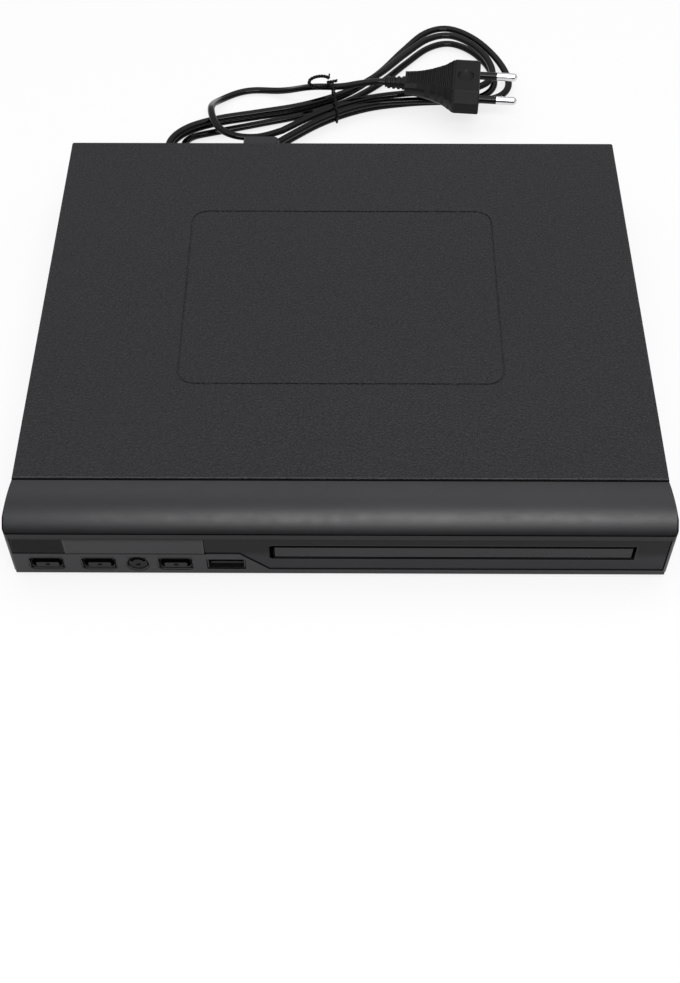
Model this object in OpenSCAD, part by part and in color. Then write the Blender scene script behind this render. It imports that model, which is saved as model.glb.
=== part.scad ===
// Compact disc player with a front loading tray, laid out in millimetres.
// X runs along the front, Y from the front to the back, Z up from the surface it stands on.

/* [Case] */
// Width of the top cover
cover_w = 250; // [235:1:300]
// Depth of the top cover
cover_d = 195; // [190:1:240]
// Height of the case above its feet
body_h = 33.8; // [33:0.2:44]
// Thickness of the folded steel cover
sheet_t = 0.8; // [0.6:0.1:1]
// Thickness of the steel floor
base_t = 1; // [0.8:0.1:1.2]
// Height of the feet
foot_h = 3.2; // [2.5:0.1:5]
// Radius of a foot
foot_r = 7; // [5:0.5:10]
// Width of the line pressed into the cover
groove_w = 0.8; // [0.5:0.1:1.2]
// Depth of that line
groove_depth = 0.35; // [0.2:0.05:0.45]
// Length of the grooved rectangle along the front
groove_x = 132; // [100:1:150]
// Length of the grooved rectangle from front to back
groove_y = 102; // [80:1:120]

/* [Front] */
// Depth of the moulded front piece
bezel_d = 20; // [18:0.5:24]
// Wall of the moulded front piece
bezel_t = 2; // [1.6:0.1:2.4]
// How far each end of the front piece flares outwards
bezel_flare = 2.7; // [1:0.1:5]
// Radius of the hood's curve
hood_r = 27; // [25:0.5:32]
// Height of the plain lip under the hood
lip_h = 3.5; // [2.5:0.1:4.5]
// Height of the glossy band under the lip
band_h = 9; // [8:0.1:10]
// Thickness of the inlaid glossy panel
panel_t = 1; // [0.8:0.1:1.2]
// Width of the dark window at the left end
window_w = 19.9; // [15:0.1:24]
// Travel of each button
button_travel = 0.6; // [0.3:0.1:0.9]
// Width of the long buttons
button_w = 12; // [9:0.5:12.5]
// Height of the long buttons
button_h = 5.6; // [4.5:0.1:6]
// Radius of the round button
round_r = 3.6; // [3:0.1:3.9]

/* [Tray] */
// How far the tray's door reaches past the tray at each side
door_past = 4.3; // [2.5:0.1:5]
// Height of the tray's door
door_h = 6.8; // [6.6:0.1:7]
// Gap round the door
door_gap = 0.4; // [0.3:0.05:0.6]
// Width of the disc tray
tray_w = 129; // [126:0.5:130]
// Length of the disc tray
tray_l = 147; // [146:1:150]
// Thickness of the tray's skin
tray_skin = 1.4; // [1.2:0.1:1.5]
// Diameter of the recess for a full-size disc
disc_d = 121.4; // [120.5:0.1:122]
// Diameter of the recess for a small disc
small_disc_d = 81; // [80.4:0.1:82]
// Depth of the recess for a full-size disc
disc_depth = 3.2; // [2.6:0.1:3.4]
// How far the tray slides out
tray_travel = 127; // [100:1:127]

/* [Drive] */
// Tooth size of the gears, as pitch diameter over teeth
gear_m = 0.8; // [0.7:0.05:0.8]
// Teeth of the pinion under the tray
pinion_teeth = 14; // [12:1:15]
// Teeth of the wheel on the same axle
wheel_teeth = 36; // [32:1:38]
// Teeth of the pinion on the belt pulley
pulley_teeth = 12; // [11:1:13]
// Angle through which the mechanism drops
drop_angle = 3.2; // [2.6:0.1:3.2]
// Length of the pickup's travel
sled_travel = 34; // [24:1:34]

/* [Lead] */
// Diameter of the mains lead
lead_d = 3.6; // [3:0.1:3.6]
// Turns in the tied hank
hank_turns = 2.667; // [1.667:1:3.667]

/* [Hidden] */
// Cuts run this far past the faces they open
over = 1;
// Clearance between parts that are screwed or snapped together
fit = 0.3;
// Radial clearance of a turning or sliding fit
run = 0.05;
// Smoothness of round holes and shafts
$fn = 48;
// Degrees of a full and of a quarter turn
turns_deg = 360;
quarter_deg = turns_deg / 4;

// Case values
jack_out = 9;
half_w = cover_w / 2;
top_z = foot_h + body_h;
front_y = -(bezel_d + cover_d + jack_out) / 2;
seam_y = front_y + bezel_d;
back_y = seam_y + cover_d;
floor_z = foot_h + base_t;
inner_x = half_w - sheet_t;
inner_z = top_z - sheet_t;
groove_r = 7;
groove_cy = seam_y + cover_d * 0.503;
flange_h = 9;
flange_t = 0.8;
cover_drop = 0.8;
bend_r = 1.2;
screw_r = 1.5;
screw_head_r = 2.9;
screw_head_t = 1.6;
screw_l = 6;
side_screw_rise = 7;
side_screw_inset = 30;
side_screw_z = foot_h + side_screw_rise;
side_screw_y = [seam_y + side_screw_inset, back_y - side_screw_inset];
foot_inset = 24;
foot_set = [12, 18];
foot_x = half_w - foot_inset;
foot_y = [seam_y + foot_set[0], back_y - foot_set[1]];
foot_pin_r = 2;
foot_pin_h = base_t;
post_h = 5;
post_r = 3;
post_bore_r = 1.25;
vent_w = 2.2;
vent_l = 22;
vent_pitch = 6;
vent_count = 9;

// Front values
hood_gap = 0.3;
hood_z = top_z - hood_gap - hood_r + sqrt(hood_r * hood_r - bezel_d * bezel_d);
lip_z = hood_z - lip_h;
band_z = lip_z - band_h;
seam_gap = 0.25;
seam_set = 0.5;
corner_r = 1.6;
lip_line = 0.5;
panel_set = 0.4;
panel_gap = 0.35;
bezel_lip_d = 4;
bezel_lip_t = 1.2;
sill_rise = 1.9;
sill_z = foot_h + sill_rise;
front_w = half_w - seam_set + bezel_flare;
panel_past = 0.2;
panel_x1 = half_w + panel_past;
window_past = 0.4;
window_x0 = -half_w - window_past;
button_rise = 5;
button_z = foot_h + button_rise;
button_gap = 0.4;
button_set = 0.45;
pocket_gap = 1.1;
pocket_t = 1.2;
button_flange = 0.7;
button_flange_t = 0.8;
button_stem_r = 1.3;
button_tick_w = 1.5;
button_tick_h = 0.9;
button_tick_t = 0.4;
button_round = 1.4;

// Tray values
frame_side = 6.5;
frame_x = tray_w / 2 + frame_side;
frame_inset = 10.6;
tray_x = half_w - frame_x - frame_inset;
door_w = tray_w + 2 * door_past;
slot_rise = 12.7;
slot_z = foot_h + slot_rise;
slot_w = door_w + 2 * door_gap;
slot_h = door_h + 2 * door_gap;
// The panel's left end, its step and the socket keep their places beside the slot
slot_x0 = tray_x - slot_w / 2;
panel_side = 25.9;
panel_x0 = slot_x0 - panel_side;
panel_dips = [12.4, 1.2];
panel_dip_x = [slot_x0 - panel_dips[0], slot_x0 - panel_dips[1]];
usb_side = 18.2;
usb_x = slot_x0 - usb_side;
power_inset = 11.6;
power_x = -half_w + power_inset;
// Places of the other buttons between the first one and the socket
button_shares = [0, 0.2911, 0.7176];
round_share = 0.5072;
button_xs = [for (f = button_shares) power_x + f * (usb_x - power_x)];
round_x = power_x + round_share * (usb_x - power_x);
door_set = 0.6;
door_t = 2.6;
door_lip = 0.5;
tray_y0 = front_y + panel_set + door_set + door_t;
tray_top = slot_z + door_h * 0.45;
tray_h = 6.4;
tray_z = tray_top - tray_h;
recess_z = tray_top - disc_depth;
small_depth = 1;
disc_set = 3.4;
disc_y = tray_y0 + disc_d / 2 + disc_set;
tray_wall = 2.2;
tray_slot_r = 17.5;
finger_r = 11;
rack_inset = 11;
rack_x = tray_x - tray_w / 2 + rack_inset;
rack_back = 2.4;

// Drive values
pitch = PI * gear_m;
pinion_r = gear_m * pinion_teeth / 2;
wheel_r = gear_m * wheel_teeth / 2;
pulley_pinion_r = gear_m * pulley_teeth / 2;
tooth_slack = 0.12;
tip_share = 0.8;
flank_share = 0.36;
mesh_gap = 0.05;
gear_set = 19;
gear_y = front_y + gear_set;
gear_x = rack_x + pinion_r + mesh_gap;
gear_step = wheel_r + pulley_pinion_r + mesh_gap;
gear_lean = 8;
pulley_x = gear_x + gear_step * cos(gear_lean);
pulley_y = gear_y + gear_step * sin(gear_lean);
pulley_r = 11;
motor_pulley_r = 3;
motor_out = 87.4;
motor_x = tray_x - motor_out;
motor_set = 29;
motor_y = front_y + motor_set;
belt_t = 0.8;
belt_h = 1.2;
belt_gap = 0.2;
pulley_t = 2;
load_motor_r = 8;
load_motor_h = 11;
shelf_t = 1.4;
wheel_rise = 4.4;
wheel_z = floor_z + wheel_rise;
wheel_t = 2;
pinion_set = 0.2;
pinion_z = tray_z + pinion_set;
pinion_t = 1.3;
axle_r = 1.2;
frame_t = 1.6;
frame_z = floor_z + fit;
pulley_z = frame_z + frame_t + fit;
frame_wall = 2;
frame_set = 8;
frame_back = 101;
frame_y0 = front_y + frame_set;
frame_y1 = disc_y + frame_back;
rail_t = 1.4;
pivot_back = 85;
pivot_rise = 5.2;
pivot_y = disc_y + pivot_back;
pivot_z = floor_z + pivot_rise;
pivot_r = 2;
pivot_l = 5;
lug_wall = 1;
plate_t = 1.2;
plate_z = tray_z - fit - plate_t;
plate_x = 38;
window_gap = 0.8;
window_x = plate_x + window_gap;
ear_t = 3;
ear_gap = 1.2;
ear_x = plate_x + ear_gap;
plate_front = 15.5;
plate_back = 1;
plate_y0 = disc_y - plate_front;
plate_y1 = pivot_y - plate_back;
plate_window_x = 27;
plate_window_set = 12.3;
plate_window_y0 = disc_y + plate_window_set;
rod_r = 1.5;
rod_x = 20.5;
rod_set = 0.2;
rod_z = plate_z + rod_set;
motor_r = 12;
motor_h = 4.2;
shaft_r = 1;
table_r = 14;
table_t = 1.4;
table_lift = 2.9;
table_top = recess_z + table_lift;
cone_r = 7.4;
cone_h = 1.8;
mat_t = 0.4;
screw_x = 24.6;
screw_rod_r = 1.1;
screw_set = 27.5;
screw_drop = 1.4;
screw_y0 = disc_y + screw_set;
screw_z = plate_z - screw_drop;
feed_r = 3.2;
feed_l = 13;
sled_l = 24;
sled_h = 4.4;
sled_drop = 2.7;
sled_z = rod_z - sled_drop;
sled_x = 23;
sled_set = 12.8;
sled_y0 = disc_y + sled_set;
sled_stop = 6.2;
plate_window_y1 = sled_y0 + sled_l + sled_travel + sled_stop;
lens_r = 3.2;
lens_block = 15;
lens_drop = 1.6;
lens_set = 24;
lens_top = table_top - lens_drop;
lens_y = disc_y + lens_set;
bridge_rise = 4.8;
bridge_z = tray_top + bridge_rise;
bridge_t = 1.2;
bridge_l = 40;
bridge_hole_r = 12;
clamper_r = 11.2;
clamper_flange_r = 14.2;
clamper_flange_t = 1.2;
clamper_rise = 0.4;
clamper_z = tray_top + clamper_rise;
clamper_cup_r = 8.4;
clamper_cup_h = 2;
clamper_face_r = 14.6;
clamper_face_t = 1.6;
cam_set = 4.2;
cam_y = plate_y0 - cam_set;
cam_t = 2.4;
cam_l = 46;
cam_h = 8.4;
cam_z = floor_z + fit;
cam_travel = 12;
nose_r = 0.8;
nose_fit = 0.25;
nose_side = 6;
nose_drop = 1.8;
nose_x = tray_x + nose_side;
nose_z = cam_z + cam_h - nose_drop;

// Board values
board_t = 1.6;
board_z = floor_z + post_h;
board_top = board_z + board_t;
main_inset = 8;
main_w = 45;
main_x0 = -half_w + main_inset;
main_x1 = main_x0 + main_w;
main_y0 = -26;
board_back = 2;
main_y1 = back_y - board_back;
boards_apart = 2;
power_w = 86;
power_x0 = main_x1 + boards_apart;
power_x1 = power_x0 + power_w;
power_gap = 3;
power_y0 = frame_y1 + power_gap;
power_y1 = back_y - board_back;
board_inset = 4;
jack_pitch = 15;
jack_inset = 8.5;
jack_rise = 8.4;
jack_x = [for (i = [0:2]) main_x0 + jack_inset + i * jack_pitch];
jack_z = board_top + jack_rise;
jack_block_d = 16;
jack_block_h = 15;
jack_ring_r = 5.2;
jack_ring_t = 2.6;
jack_tip = 1;
barrel_r = 4.15;
barrel_bore_r = 3.4;
core_r = 3.2;
pin_bore_r = 1.65;
pin_bore_l = 8;
inlet_side = 31;
inlet_x = power_x0 + inlet_side;
inlet_w = 22;
inlet_h = 12;
inlet_l = 18;
inlet_z = board_top + inlet_h / 2;
inlet_hole_r = 4.3;
inlet_pitch = 8.6;
inlet_depth = 10.5;
inlet_flange = 1.4;
inlet_pin_r = 1.2;
inlet_pin_l = 8.5;
key_set = 11.4;
key_y = front_y + key_set;
key_t = 1.2;
key_inset = 3;
key_gap = 4.4;
key_x0 = -half_w + key_inset;
key_x1 = tray_x - frame_x - key_gap;
key_rise = 0.4;
key_top = 6.6;
key_z0 = floor_z + key_rise;
key_z1 = band_z + key_top;
switch_w = 6;
switch_l = 3.6;
usb_z = button_z;
usb_w = 14.4;
usb_h = 6.2;
usb_t = 0.4;
usb_l = 17;
usb_tongue_w = 11.2;
usb_tongue_t = 1.8;
usb_tongue_l = 9;

// Lead values
nose_l = 9.5;
nose_gap = 0.35;
plug_gap = 0.3;
conn_w = 17;
conn_h = 13;
conn_l = 20;
conn_round = 2.4;
relief_l = 22;
relief_turn = 24;
relief_tilt = 12;
relief_r = [4.2, 2.9];
relief_ribs = 7;
rib_rise = 0.5;
relief_y = 14;
hank_c = [-4, 171];
hank_angle = 28;
hank_start_share = 0.14;
hank_end_share = 1.25;
hank_skew_share = 0.33;
hank_u = 86;
hank_waist = 2.4;
hank_step = 4.6;
hank_bulge = 39;
hank_spread = 16;
hank_layer = 4.4;
hank_rings = 24;
hank_sides = 6;
lead_sides = 8;
plug_at = [56.3, 173.4, 16];
plug_turn = -5;
plug_relief_l = 10;
plug_relief_r = [3, 2.6];
plug_relief_ribs = 4;
plug_w = 35.3;
plug_t = 13.7;
plug_l = 12.5;
plug_taper_l = 25;
plug_neck_w = 12.6;
plug_neck_t = 8;
plug_ribs = 9;
plug_dimple_r = 4;
plug_dimple_h = 1;
plug_pin_pitch = 19;
plug_pin_r = 2;
plug_pin_l = 19;
tie_t = 0.8;
tie_w = 3;
tie_tail = 12;
tie_turn = 8;
tie_lift = 78;
// Points of the lead between its strain relief and the hank, and between the hank and the plug
lead_points = [[-75, 131.8, 9.4], [-77.4, 135, 7.8], [-78.4, 138.9, 6.2], [-78.1, 143.1, 5],
    [-76.4, 146.9, 4], [-73.6, 149.9, 3.2], [-69.9, 151.8, 2.7]];
tail_points = [[-38.2, 143.8, 8.2], [-43, 140.8, 9.8], [-48.6, 139, 11.2], [-54, 139.6, 11.8],
    [-58.8, 142.4, 12], [-62.4, 147, 12], [-64.6, 152.6, 12], [-66, 159.4, 11.4], [-66.4, 166.4, 9],
    [-65.2, 173.2, 5.6], [-62.2, 179, 3], [-57.8, 183.8, 2], [-52, 187, 1.9], [-45.4, 188.4, 1.9],
    [-38, 187.6, 2], [-31, 185.6, 3.4], [-24.6, 183, 6.4], [-18.4, 180.6, 9.6], [-12, 178.8, 11.4],
    [-5, 177.6, 12], [2, 177.2, 12.8], [8, 177.3, 14.6]];
lead_straight = lead_d;
// The lead's points count from a place that follows the inlet
lead_from = [39, -103, 0];
lead_at = [inlet_x, back_y, 0] + lead_from;
plug_place = lead_at + plug_at;

// Straight box from its low corner and its size
module block(at, size) {
    translate(at) cube(size);
}

// Upright cylinder from the centre of its foot
module post(at, r, h) {
    translate(at) cylinder(r = r, h = h);
}

// Cylinder that runs along +Y from a point
module shaft_y(at, r, l) {
    translate(at) rotate([-90, 0, 0]) cylinder(r = r, h = l);
}

// Cylinder that runs along +X from a point
module shaft_x(at, r, l) {
    translate(at) rotate([0, 90, 0]) cylinder(r = r, h = l);
}

// Points of a rectangle with round corners, centred on the origin
function round_rect(w, h, r, n = 6) = [for (c = [0:3]) for (i = [0:n])
    let (a = quarter_deg * (c + i / n), sx = (c == 0 || c == 3) ? 1 : -1, sy = c < 2 ? 1 : -1)
    [sx * (w / 2 - r) + r * cos(a), sy * (h / 2 - r) + r * sin(a)]];

// Prism along X from an outline drawn in Y and Z
module prism_x(x0, x1) {
    translate([x0, 0, 0]) rotate([90, 0, 90]) linear_extrude(x1 - x0) children();
}

// Prism along Y from an outline drawn in X and Z
module prism_y(y0, y1) {
    translate([0, y1, 0]) rotate([90, 0, 0]) linear_extrude(y1 - y0) children();
}

// Outline of a spur gear with straight-sided teeth
function gear_outline(teeth, slack) = let (r = gear_m * teeth / 2, tip = r + tip_share * gear_m,
    root = r - gear_m, half = 90 / teeth, cut = slack / r * 180 / PI / 2)
    [for (i = [0:teeth - 1]) let (a = turns_deg * i / teeth)
        for (p = [[root, -1.45], [tip, -0.5], [tip, 0.5], [root, 1.45]])
            let (b = a + half * p[1] - cut * sign(p[1])) [p[0] * cos(b), p[0] * sin(b)]];

module gear(teeth, t, slack = tooth_slack) {
    linear_extrude(t) polygon(gear_outline(teeth, slack));
}

// The case

module bottom_chassis() {
    color("silver") difference() {
        union() {
            block([-inner_x + fit, seam_y + over, foot_h],
                [2 * (inner_x - fit), back_y - seam_y - 2 * over, base_t]);
            block([-front_w + bezel_flare + bezel_t + fit, front_y + bezel_lip_d + fit, foot_h],
                [2 * (front_w - bezel_flare - bezel_t - fit), bezel_d, base_t]);
            for (s = [-1, 1]) {
                block([s < 0 ? -inner_x + fit : inner_x - fit - flange_t, seam_y + 2 * over, foot_h],
                    [flange_t, back_y - seam_y - 4 * over, flange_h]);
                for (y = side_screw_y) block([s < 0 ? -inner_x + fit : inner_x - fit - 3 * flange_t,
                    y - post_r, foot_h], [3 * flange_t, 2 * post_r, flange_h + over]);
            }
            for (p = board_posts()) post([p[0], p[1], foot_h], post_r, base_t + post_h);
        }
        for (p = board_posts()) post([p[0], p[1], foot_h + base_t], post_bore_r, post_h + over);
        for (s = [-1, 1]) {
            for (y = side_screw_y)
                shaft_x([s * inner_x - 5 * flange_t, y, side_screw_z], screw_r + fit / 3, 10 * flange_t);
            for (y = foot_y) post([s * foot_x, y, foot_h - over], foot_pin_r + fit / 3, base_t + 2 * over);
        }
        for (i = [0:vent_count - 1]) for (y = [main_y0 - 1.5 * vent_l, main_y0 + 2 * vent_l])
            block([main_x0 + board_inset + i * vent_pitch, y, foot_h - over], [vent_w, vent_l,
                base_t + 2 * over]);
    }
}

function board_posts() = concat(
    [for (x = [main_x0 + board_inset, main_x1 - board_inset])
        for (y = [main_y0 + board_inset, main_y1 - jack_block_d - 2 * board_inset]) [x, y]],
    [for (x = [power_x0 + board_inset, power_x1 - board_inset])
        for (y = [power_y0 + board_inset, power_y1 - board_inset]) [x, y]]);

module rear_panel() {
    color("#2c2d2e") difference() {
        block([-inner_x + 2 * fit + flange_t, back_y - sheet_t, floor_z],
            [2 * (inner_x - 2 * fit - flange_t), sheet_t, inner_z - fit - floor_z]);
        for (x = jack_x) shaft_y([x, back_y - sheet_t - over, jack_z], jack_ring_r + fit,
            sheet_t + 2 * over);
        block([inlet_x - inlet_w / 2 - fit / 2, back_y - sheet_t - over, inlet_z - inlet_h / 2 - fit / 2],
            [inlet_w + fit, sheet_t + 2 * over, inlet_h + fit]);
        for (i = [0:vent_count - 1])
            block([inlet_x + inlet_w + (i + 1) * vent_pitch, back_y - sheet_t - over, floor_z + post_h],
                [vent_w, sheet_t + 2 * over, vent_l * 0.7]);
    }
}

// Half the outline of the folded cover, open at the bottom
module cover_outline(x, z, r) {
    difference() {
        translate([-x, 0]) square([2 * x, z]);
        for (s = [-1, 1]) translate([s * (x - r / 2), z - r / 2]) square([r, r], center = true);
    }
    for (s = [-1, 1]) translate([s * (x - r), z - r]) circle(r = r);
}

module top_cover() {
    color("#34363a") difference() {
        prism_y(seam_y, back_y) difference() {
            cover_outline(half_w, top_z, bend_r);
            translate([-inner_x, -over]) square([2 * inner_x, inner_z + over]);
            translate([-half_w - over, -over]) square([2 * half_w + 2 * over, foot_h + cover_drop + over]);
        }
        translate([0, groove_cy, top_z - groove_depth]) difference() {
            linear_extrude(groove_depth + over)
                polygon(round_rect(groove_x, groove_y, groove_r));
            translate([0, 0, -over]) linear_extrude(groove_depth + 3 * over)
                polygon(round_rect(groove_x - 2 * groove_w, groove_y - 2 * groove_w, groove_r - groove_w));
        }
        for (s = [-1, 1]) for (y = side_screw_y)
            shaft_x([s * half_w - 2 * sheet_t, y, side_screw_z], screw_r + fit / 3, 4 * sheet_t);
    }
}

// The moulded front

// Side outline of the front piece, inset all round by a wall
module hood_outline(inset) {
    r = hood_r - inset;
    zc = top_z - hood_gap - hood_r;
    past = inset > 0 ? over : 0;
    difference() {
        intersection() {
            translate([seam_y, zc]) circle(r = r, $fn = 180);
            translate([front_y + inset, zc - hood_r]) square([bezel_d - inset - seam_gap + past,
                2 * hood_r]);
        }
        translate([front_y - over, zc - 2 * hood_r]) square([bezel_d + 2 * over, 2 * hood_r - over]);
    }
    translate([front_y + inset, foot_h - past])
        square([bezel_d - inset - seam_gap + past, hood_z - inset - foot_h + past]);
}

// Top outline of the front piece, inset all round by a wall
function front_plan(inset) = let (w = front_w - inset, v = half_w - seam_set - inset,
    past = inset > 0 ? over : 0, y0 = front_y - past, r = corner_r)
    concat([[-v, seam_y + past], [-w, y0 + 3 * r]],
        [for (i = [0:6]) let (a = 180 + 15 * i) [-w + r + r * cos(a), y0 + r + r * sin(a)]],
        [for (i = [0:6]) let (a = 270 + 15 * i) [w - r + r * cos(a), y0 + r + r * sin(a)]],
        [[w, y0 + 3 * r], [v, seam_y + past]]);

// Front outline of the glossy panel, with a gap round it when it cuts its own seat
module panel_outline(gap) {
    polygon([[panel_x0 - gap, lip_z + gap], [panel_x1 + gap, lip_z + gap],
        [panel_x1 + gap, sill_z - gap], [panel_dip_x[1] - gap, sill_z - gap],
        [panel_dip_x[0] - gap, band_z - gap], [panel_x0 - gap, band_z - gap]]);
}

module window_outline(gap) {
    polygon([[window_x0 - gap, band_z - gap], [window_x0 + window_w + gap, band_z - gap],
        [window_x0 + window_w + gap, lip_z + gap], [window_x0 - gap, lip_z + gap]]);
}

// Outline of a long button in X and Z
module long_button(x, gap) {
    translate([x, button_z]) polygon(round_rect(button_w + 2 * gap, button_h + 2 * gap,
        button_round + gap));
}

module front_bezel() {
    color("#3a3b3c") difference() {
        intersection() {
            prism_x(-front_w - over, front_w + over) hood_outline(0);
            translate([0, 0, foot_h - over]) linear_extrude(body_h + 2 * over) polygon(front_plan(0));
        }
        intersection() {
            prism_x(-front_w, front_w) hood_outline(bezel_t);
            translate([0, 0, foot_h - over]) linear_extrude(body_h + 2 * over) polygon(front_plan(bezel_t));
        }
        block([-front_w + bezel_flare + bezel_t, front_y + bezel_lip_d, foot_h - over],
            [2 * (front_w - bezel_flare - bezel_t), bezel_d, bezel_lip_t + 2 * over]);
        block([-front_w - over, front_y - over, lip_z + lip_h - lip_line / 2],
            [2 * front_w + 2 * over, over + lip_line, lip_line]);
        prism_y(front_y - over, front_y + panel_set + panel_t) panel_outline(panel_gap);
        prism_y(front_y - over, front_y + panel_set + panel_t) window_outline(panel_gap / 2);
        block([tray_x - slot_w / 2 - over, front_y - over, slot_z - slot_h / 2 - over / 4],
            [slot_w + 2 * over, bezel_t + 2 * over, slot_h + over]);
        for (x = button_xs) {
            prism_y(front_y - over, front_y + bezel_t + over) long_button(x, button_gap);
            prism_y(front_y - over, front_y + pocket_t) long_button(x, pocket_gap);
        }
        shaft_y([round_x, front_y - over, button_z], round_r + button_gap, bezel_t + 2 * over);
        shaft_y([round_x, front_y - over, button_z], round_r + pocket_gap, pocket_t + over);
        block([usb_x - usb_w / 2 - fit, front_y - over, usb_z - usb_h / 2 - fit / 2],
            [usb_w + 2 * fit, bezel_t + 2 * over, usb_h + fit]);
        prism_y(front_y + bezel_t - over, front_y + bezel_t + over) window_outline(-2 * over);
    }
    color("#3a3b3c") block([-front_w + bezel_flare + bezel_t, front_y + bezel_t, foot_h],
        [2 * (front_w - bezel_flare - bezel_t), bezel_lip_d - bezel_t, bezel_lip_t]);
}

module front_panel() {
    color("#202123") difference() {
        prism_y(front_y + panel_set, front_y + panel_set + panel_t) panel_outline(0);
        block([tray_x - slot_w / 2, front_y - over, slot_z - slot_h / 2],
            [slot_w, bezel_t + 2 * over, slot_h]);
    }
}

module receiver_window() {
    color("#141416") prism_y(front_y + panel_set / 2, front_y + panel_set + panel_t) window_outline(0);
}

module rubber_feet() {
    color("#1b1b1b") for (s = [-1, 1]) for (y = foot_y) {
        translate([s * foot_x, y, 0]) cylinder(r1 = foot_r * 0.9, r2 = foot_r, h = foot_h);
        post([s * foot_x, y, foot_h], foot_pin_r, foot_pin_h);
    }
}

module case_screws() {
    color("#55575a") for (s = [-1, 1]) for (y = side_screw_y) {
        shaft_x([s > 0 ? half_w : -half_w - screw_head_t, y, side_screw_z], screw_head_r, screw_head_t);
        shaft_x([s > 0 ? half_w - screw_l : -half_w, y, side_screw_z], screw_r, screw_l);
    }
}

// The boards

module main_board() {
    color("#1f6b3a") difference() {
        block([main_x0, main_y0, board_z], [main_x1 - main_x0, main_y1 - main_y0, board_t]);
        for (p = board_posts()) post([p[0], p[1], board_z - over], screw_r, board_t + 2 * over);
    }
}

// Centres of the three large chips: along the board, across it, and their side as shares
chip_shares = [[0.28, 0.5, 0.5], [0.55, 0.34, 0.26], [0.55, 0.74, 0.22]];
chip_t = 1.4;

module board_chips() {
    w = main_x1 - main_x0;
    l = main_y1 - main_y0 - jack_block_d;
    color("#1a1a1c") for (c = chip_shares)
        block([main_x0 + w * c[1] - w * c[2] / 2, main_y0 + l * c[0] - w * c[2] / 2, board_top],
            [w * c[2], w * c[2], chip_t]);
    color("white") block([main_x1 - 8 * chip_t, main_y0 + board_inset * 3, board_top],
        [3 * chip_t, 12 * chip_t, 4 * chip_t]);
}

can_r = 3.1;
can_h = 8;

module board_capacitors() {
    color("#26324f") for (i = [0:3])
        post([main_x0 + board_inset * 2 + i * 3.2 * can_r,
        main_y1 - jack_block_d - 5 * can_r, board_top], can_r, can_h);
}

module power_board() {
    color("#b58a4a") difference() {
        block([power_x0, power_y0, board_z], [power_x1 - power_x0, power_y1 - power_y0, board_t]);
        for (p = board_posts()) post([p[0], p[1], board_z - over], screw_r, board_t + 2 * over);
    }
}

core_w = 19;
core_h = 15;
core_t = 2;
core_leg = 3;
core_side = 21;
core_x = power_x1 - core_side;
core_set = 14;
core_y = power_y1 - core_set;

// Winding through the two windows of a laminated core
module transformer() {
    w = core_w - 2 * core_leg;
    color("#d8c14a") block([core_x - w / 2, core_y - core_w * 0.45, board_top + core_t],
        [w, core_w * 0.9, core_h - 2 * core_t]);
    color("#2b2b2b") difference() {
        block([core_x - core_w / 2, core_y - core_w / 4, board_top], [core_w, core_w / 2, core_h]);
        block([core_x - w / 2, core_y - core_w / 2, board_top + core_t], [w, core_w, core_h - 2 * core_t]);
    }
}

big_can_r = 6.5;
big_can_h = 19;
big_can_at = [9.5, 14];
small_can_r = 3.7;
small_can_h = 10.4;
small_can_at = [7, 11.3];
small_can_pitch = 8.5;

module power_capacitors() {
    color("#20264a") {
        post([power_x0 + big_can_at[0], power_y1 - big_can_at[1], board_top], big_can_r, big_can_h);
        for (i = [0:2]) post([power_x1 - small_can_at[0], power_y0 + small_can_at[1] + i * small_can_pitch,
            board_top], small_can_r, small_can_h);
    }
}

fuse_r = 2.6;
fuse_l = 20;
fuse_at = [10, 6];

module fuse() {
    fx = power_x0 + fuse_at[0];
    fy = power_y0 + fuse_at[1];
    color("white") shaft_x([fx, fy, board_top + fuse_r + over], fuse_r, fuse_l);
    color("silver") for (x = [fx + fuse_l * 0.1, fx + fuse_l * 0.8])
        block([x, fy - fuse_r, board_top], [fuse_l * 0.1, 2 * fuse_r, fuse_r]);
}

sink_t = 1.5;
sink_h = 18;
sink_w = 24;
sink_fin = 3;
sink_pitch = 5.5;
sink_at = [6, 4];

module heat_sink() {
    sx = core_x - core_w / 2 - sink_at[0];
    sy = power_y0 + sink_at[1];
    color("silver") {
        block([sx, sy, board_top], [sink_t, sink_w, sink_h]);
        for (i = [0:4]) block([sx - sink_fin, sy + i * sink_pitch, board_top + sink_fin],
            [sink_fin, sink_t, sink_h - sink_fin]);
    }
}

// Outline of the two-lobed power inlet in X and Z
module lobes(r) {
    translate([inlet_x - inlet_pitch / 2, inlet_z]) circle(r = r);
    translate([inlet_x + inlet_pitch / 2, inlet_z]) circle(r = r);
    translate([inlet_x - inlet_pitch / 2, inlet_z - r * 0.8]) square([inlet_pitch, 1.6 * r]);
}

module power_inlet() {
    color("#1d1d1f") difference() {
        union() {
            block([inlet_x - inlet_w / 2, back_y - inlet_l, board_top], [inlet_w, inlet_l, inlet_h]);
            block([inlet_x - inlet_w / 2 - inlet_flange, back_y, inlet_z - inlet_h / 2 - inlet_flange],
                [inlet_w + 2 * inlet_flange, inlet_flange, inlet_h + 2 * inlet_flange]);
        }
        prism_y(back_y + inlet_flange - inlet_depth, back_y + inlet_flange + over) lobes(inlet_hole_r);
        for (s = [-1, 1]) shaft_y([inlet_x + s * inlet_pitch / 2, back_y - inlet_l - over, inlet_z],
            inlet_pin_r, inlet_l);
    }
}

module inlet_pins() {
    color("silver") for (s = [-1, 1])
        shaft_y([inlet_x + s * inlet_pitch / 2, back_y - inlet_l - over, inlet_z], inlet_pin_r,
            inlet_l + over + inlet_flange - inlet_depth + inlet_pin_l);
}

module jack_block() {
    color("#232325") block([main_x0 + board_inset / 4, main_y1 - jack_block_d, board_top],
        [main_x1 - main_x0 - board_inset / 2, jack_block_d, jack_block_h]);
}

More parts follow.
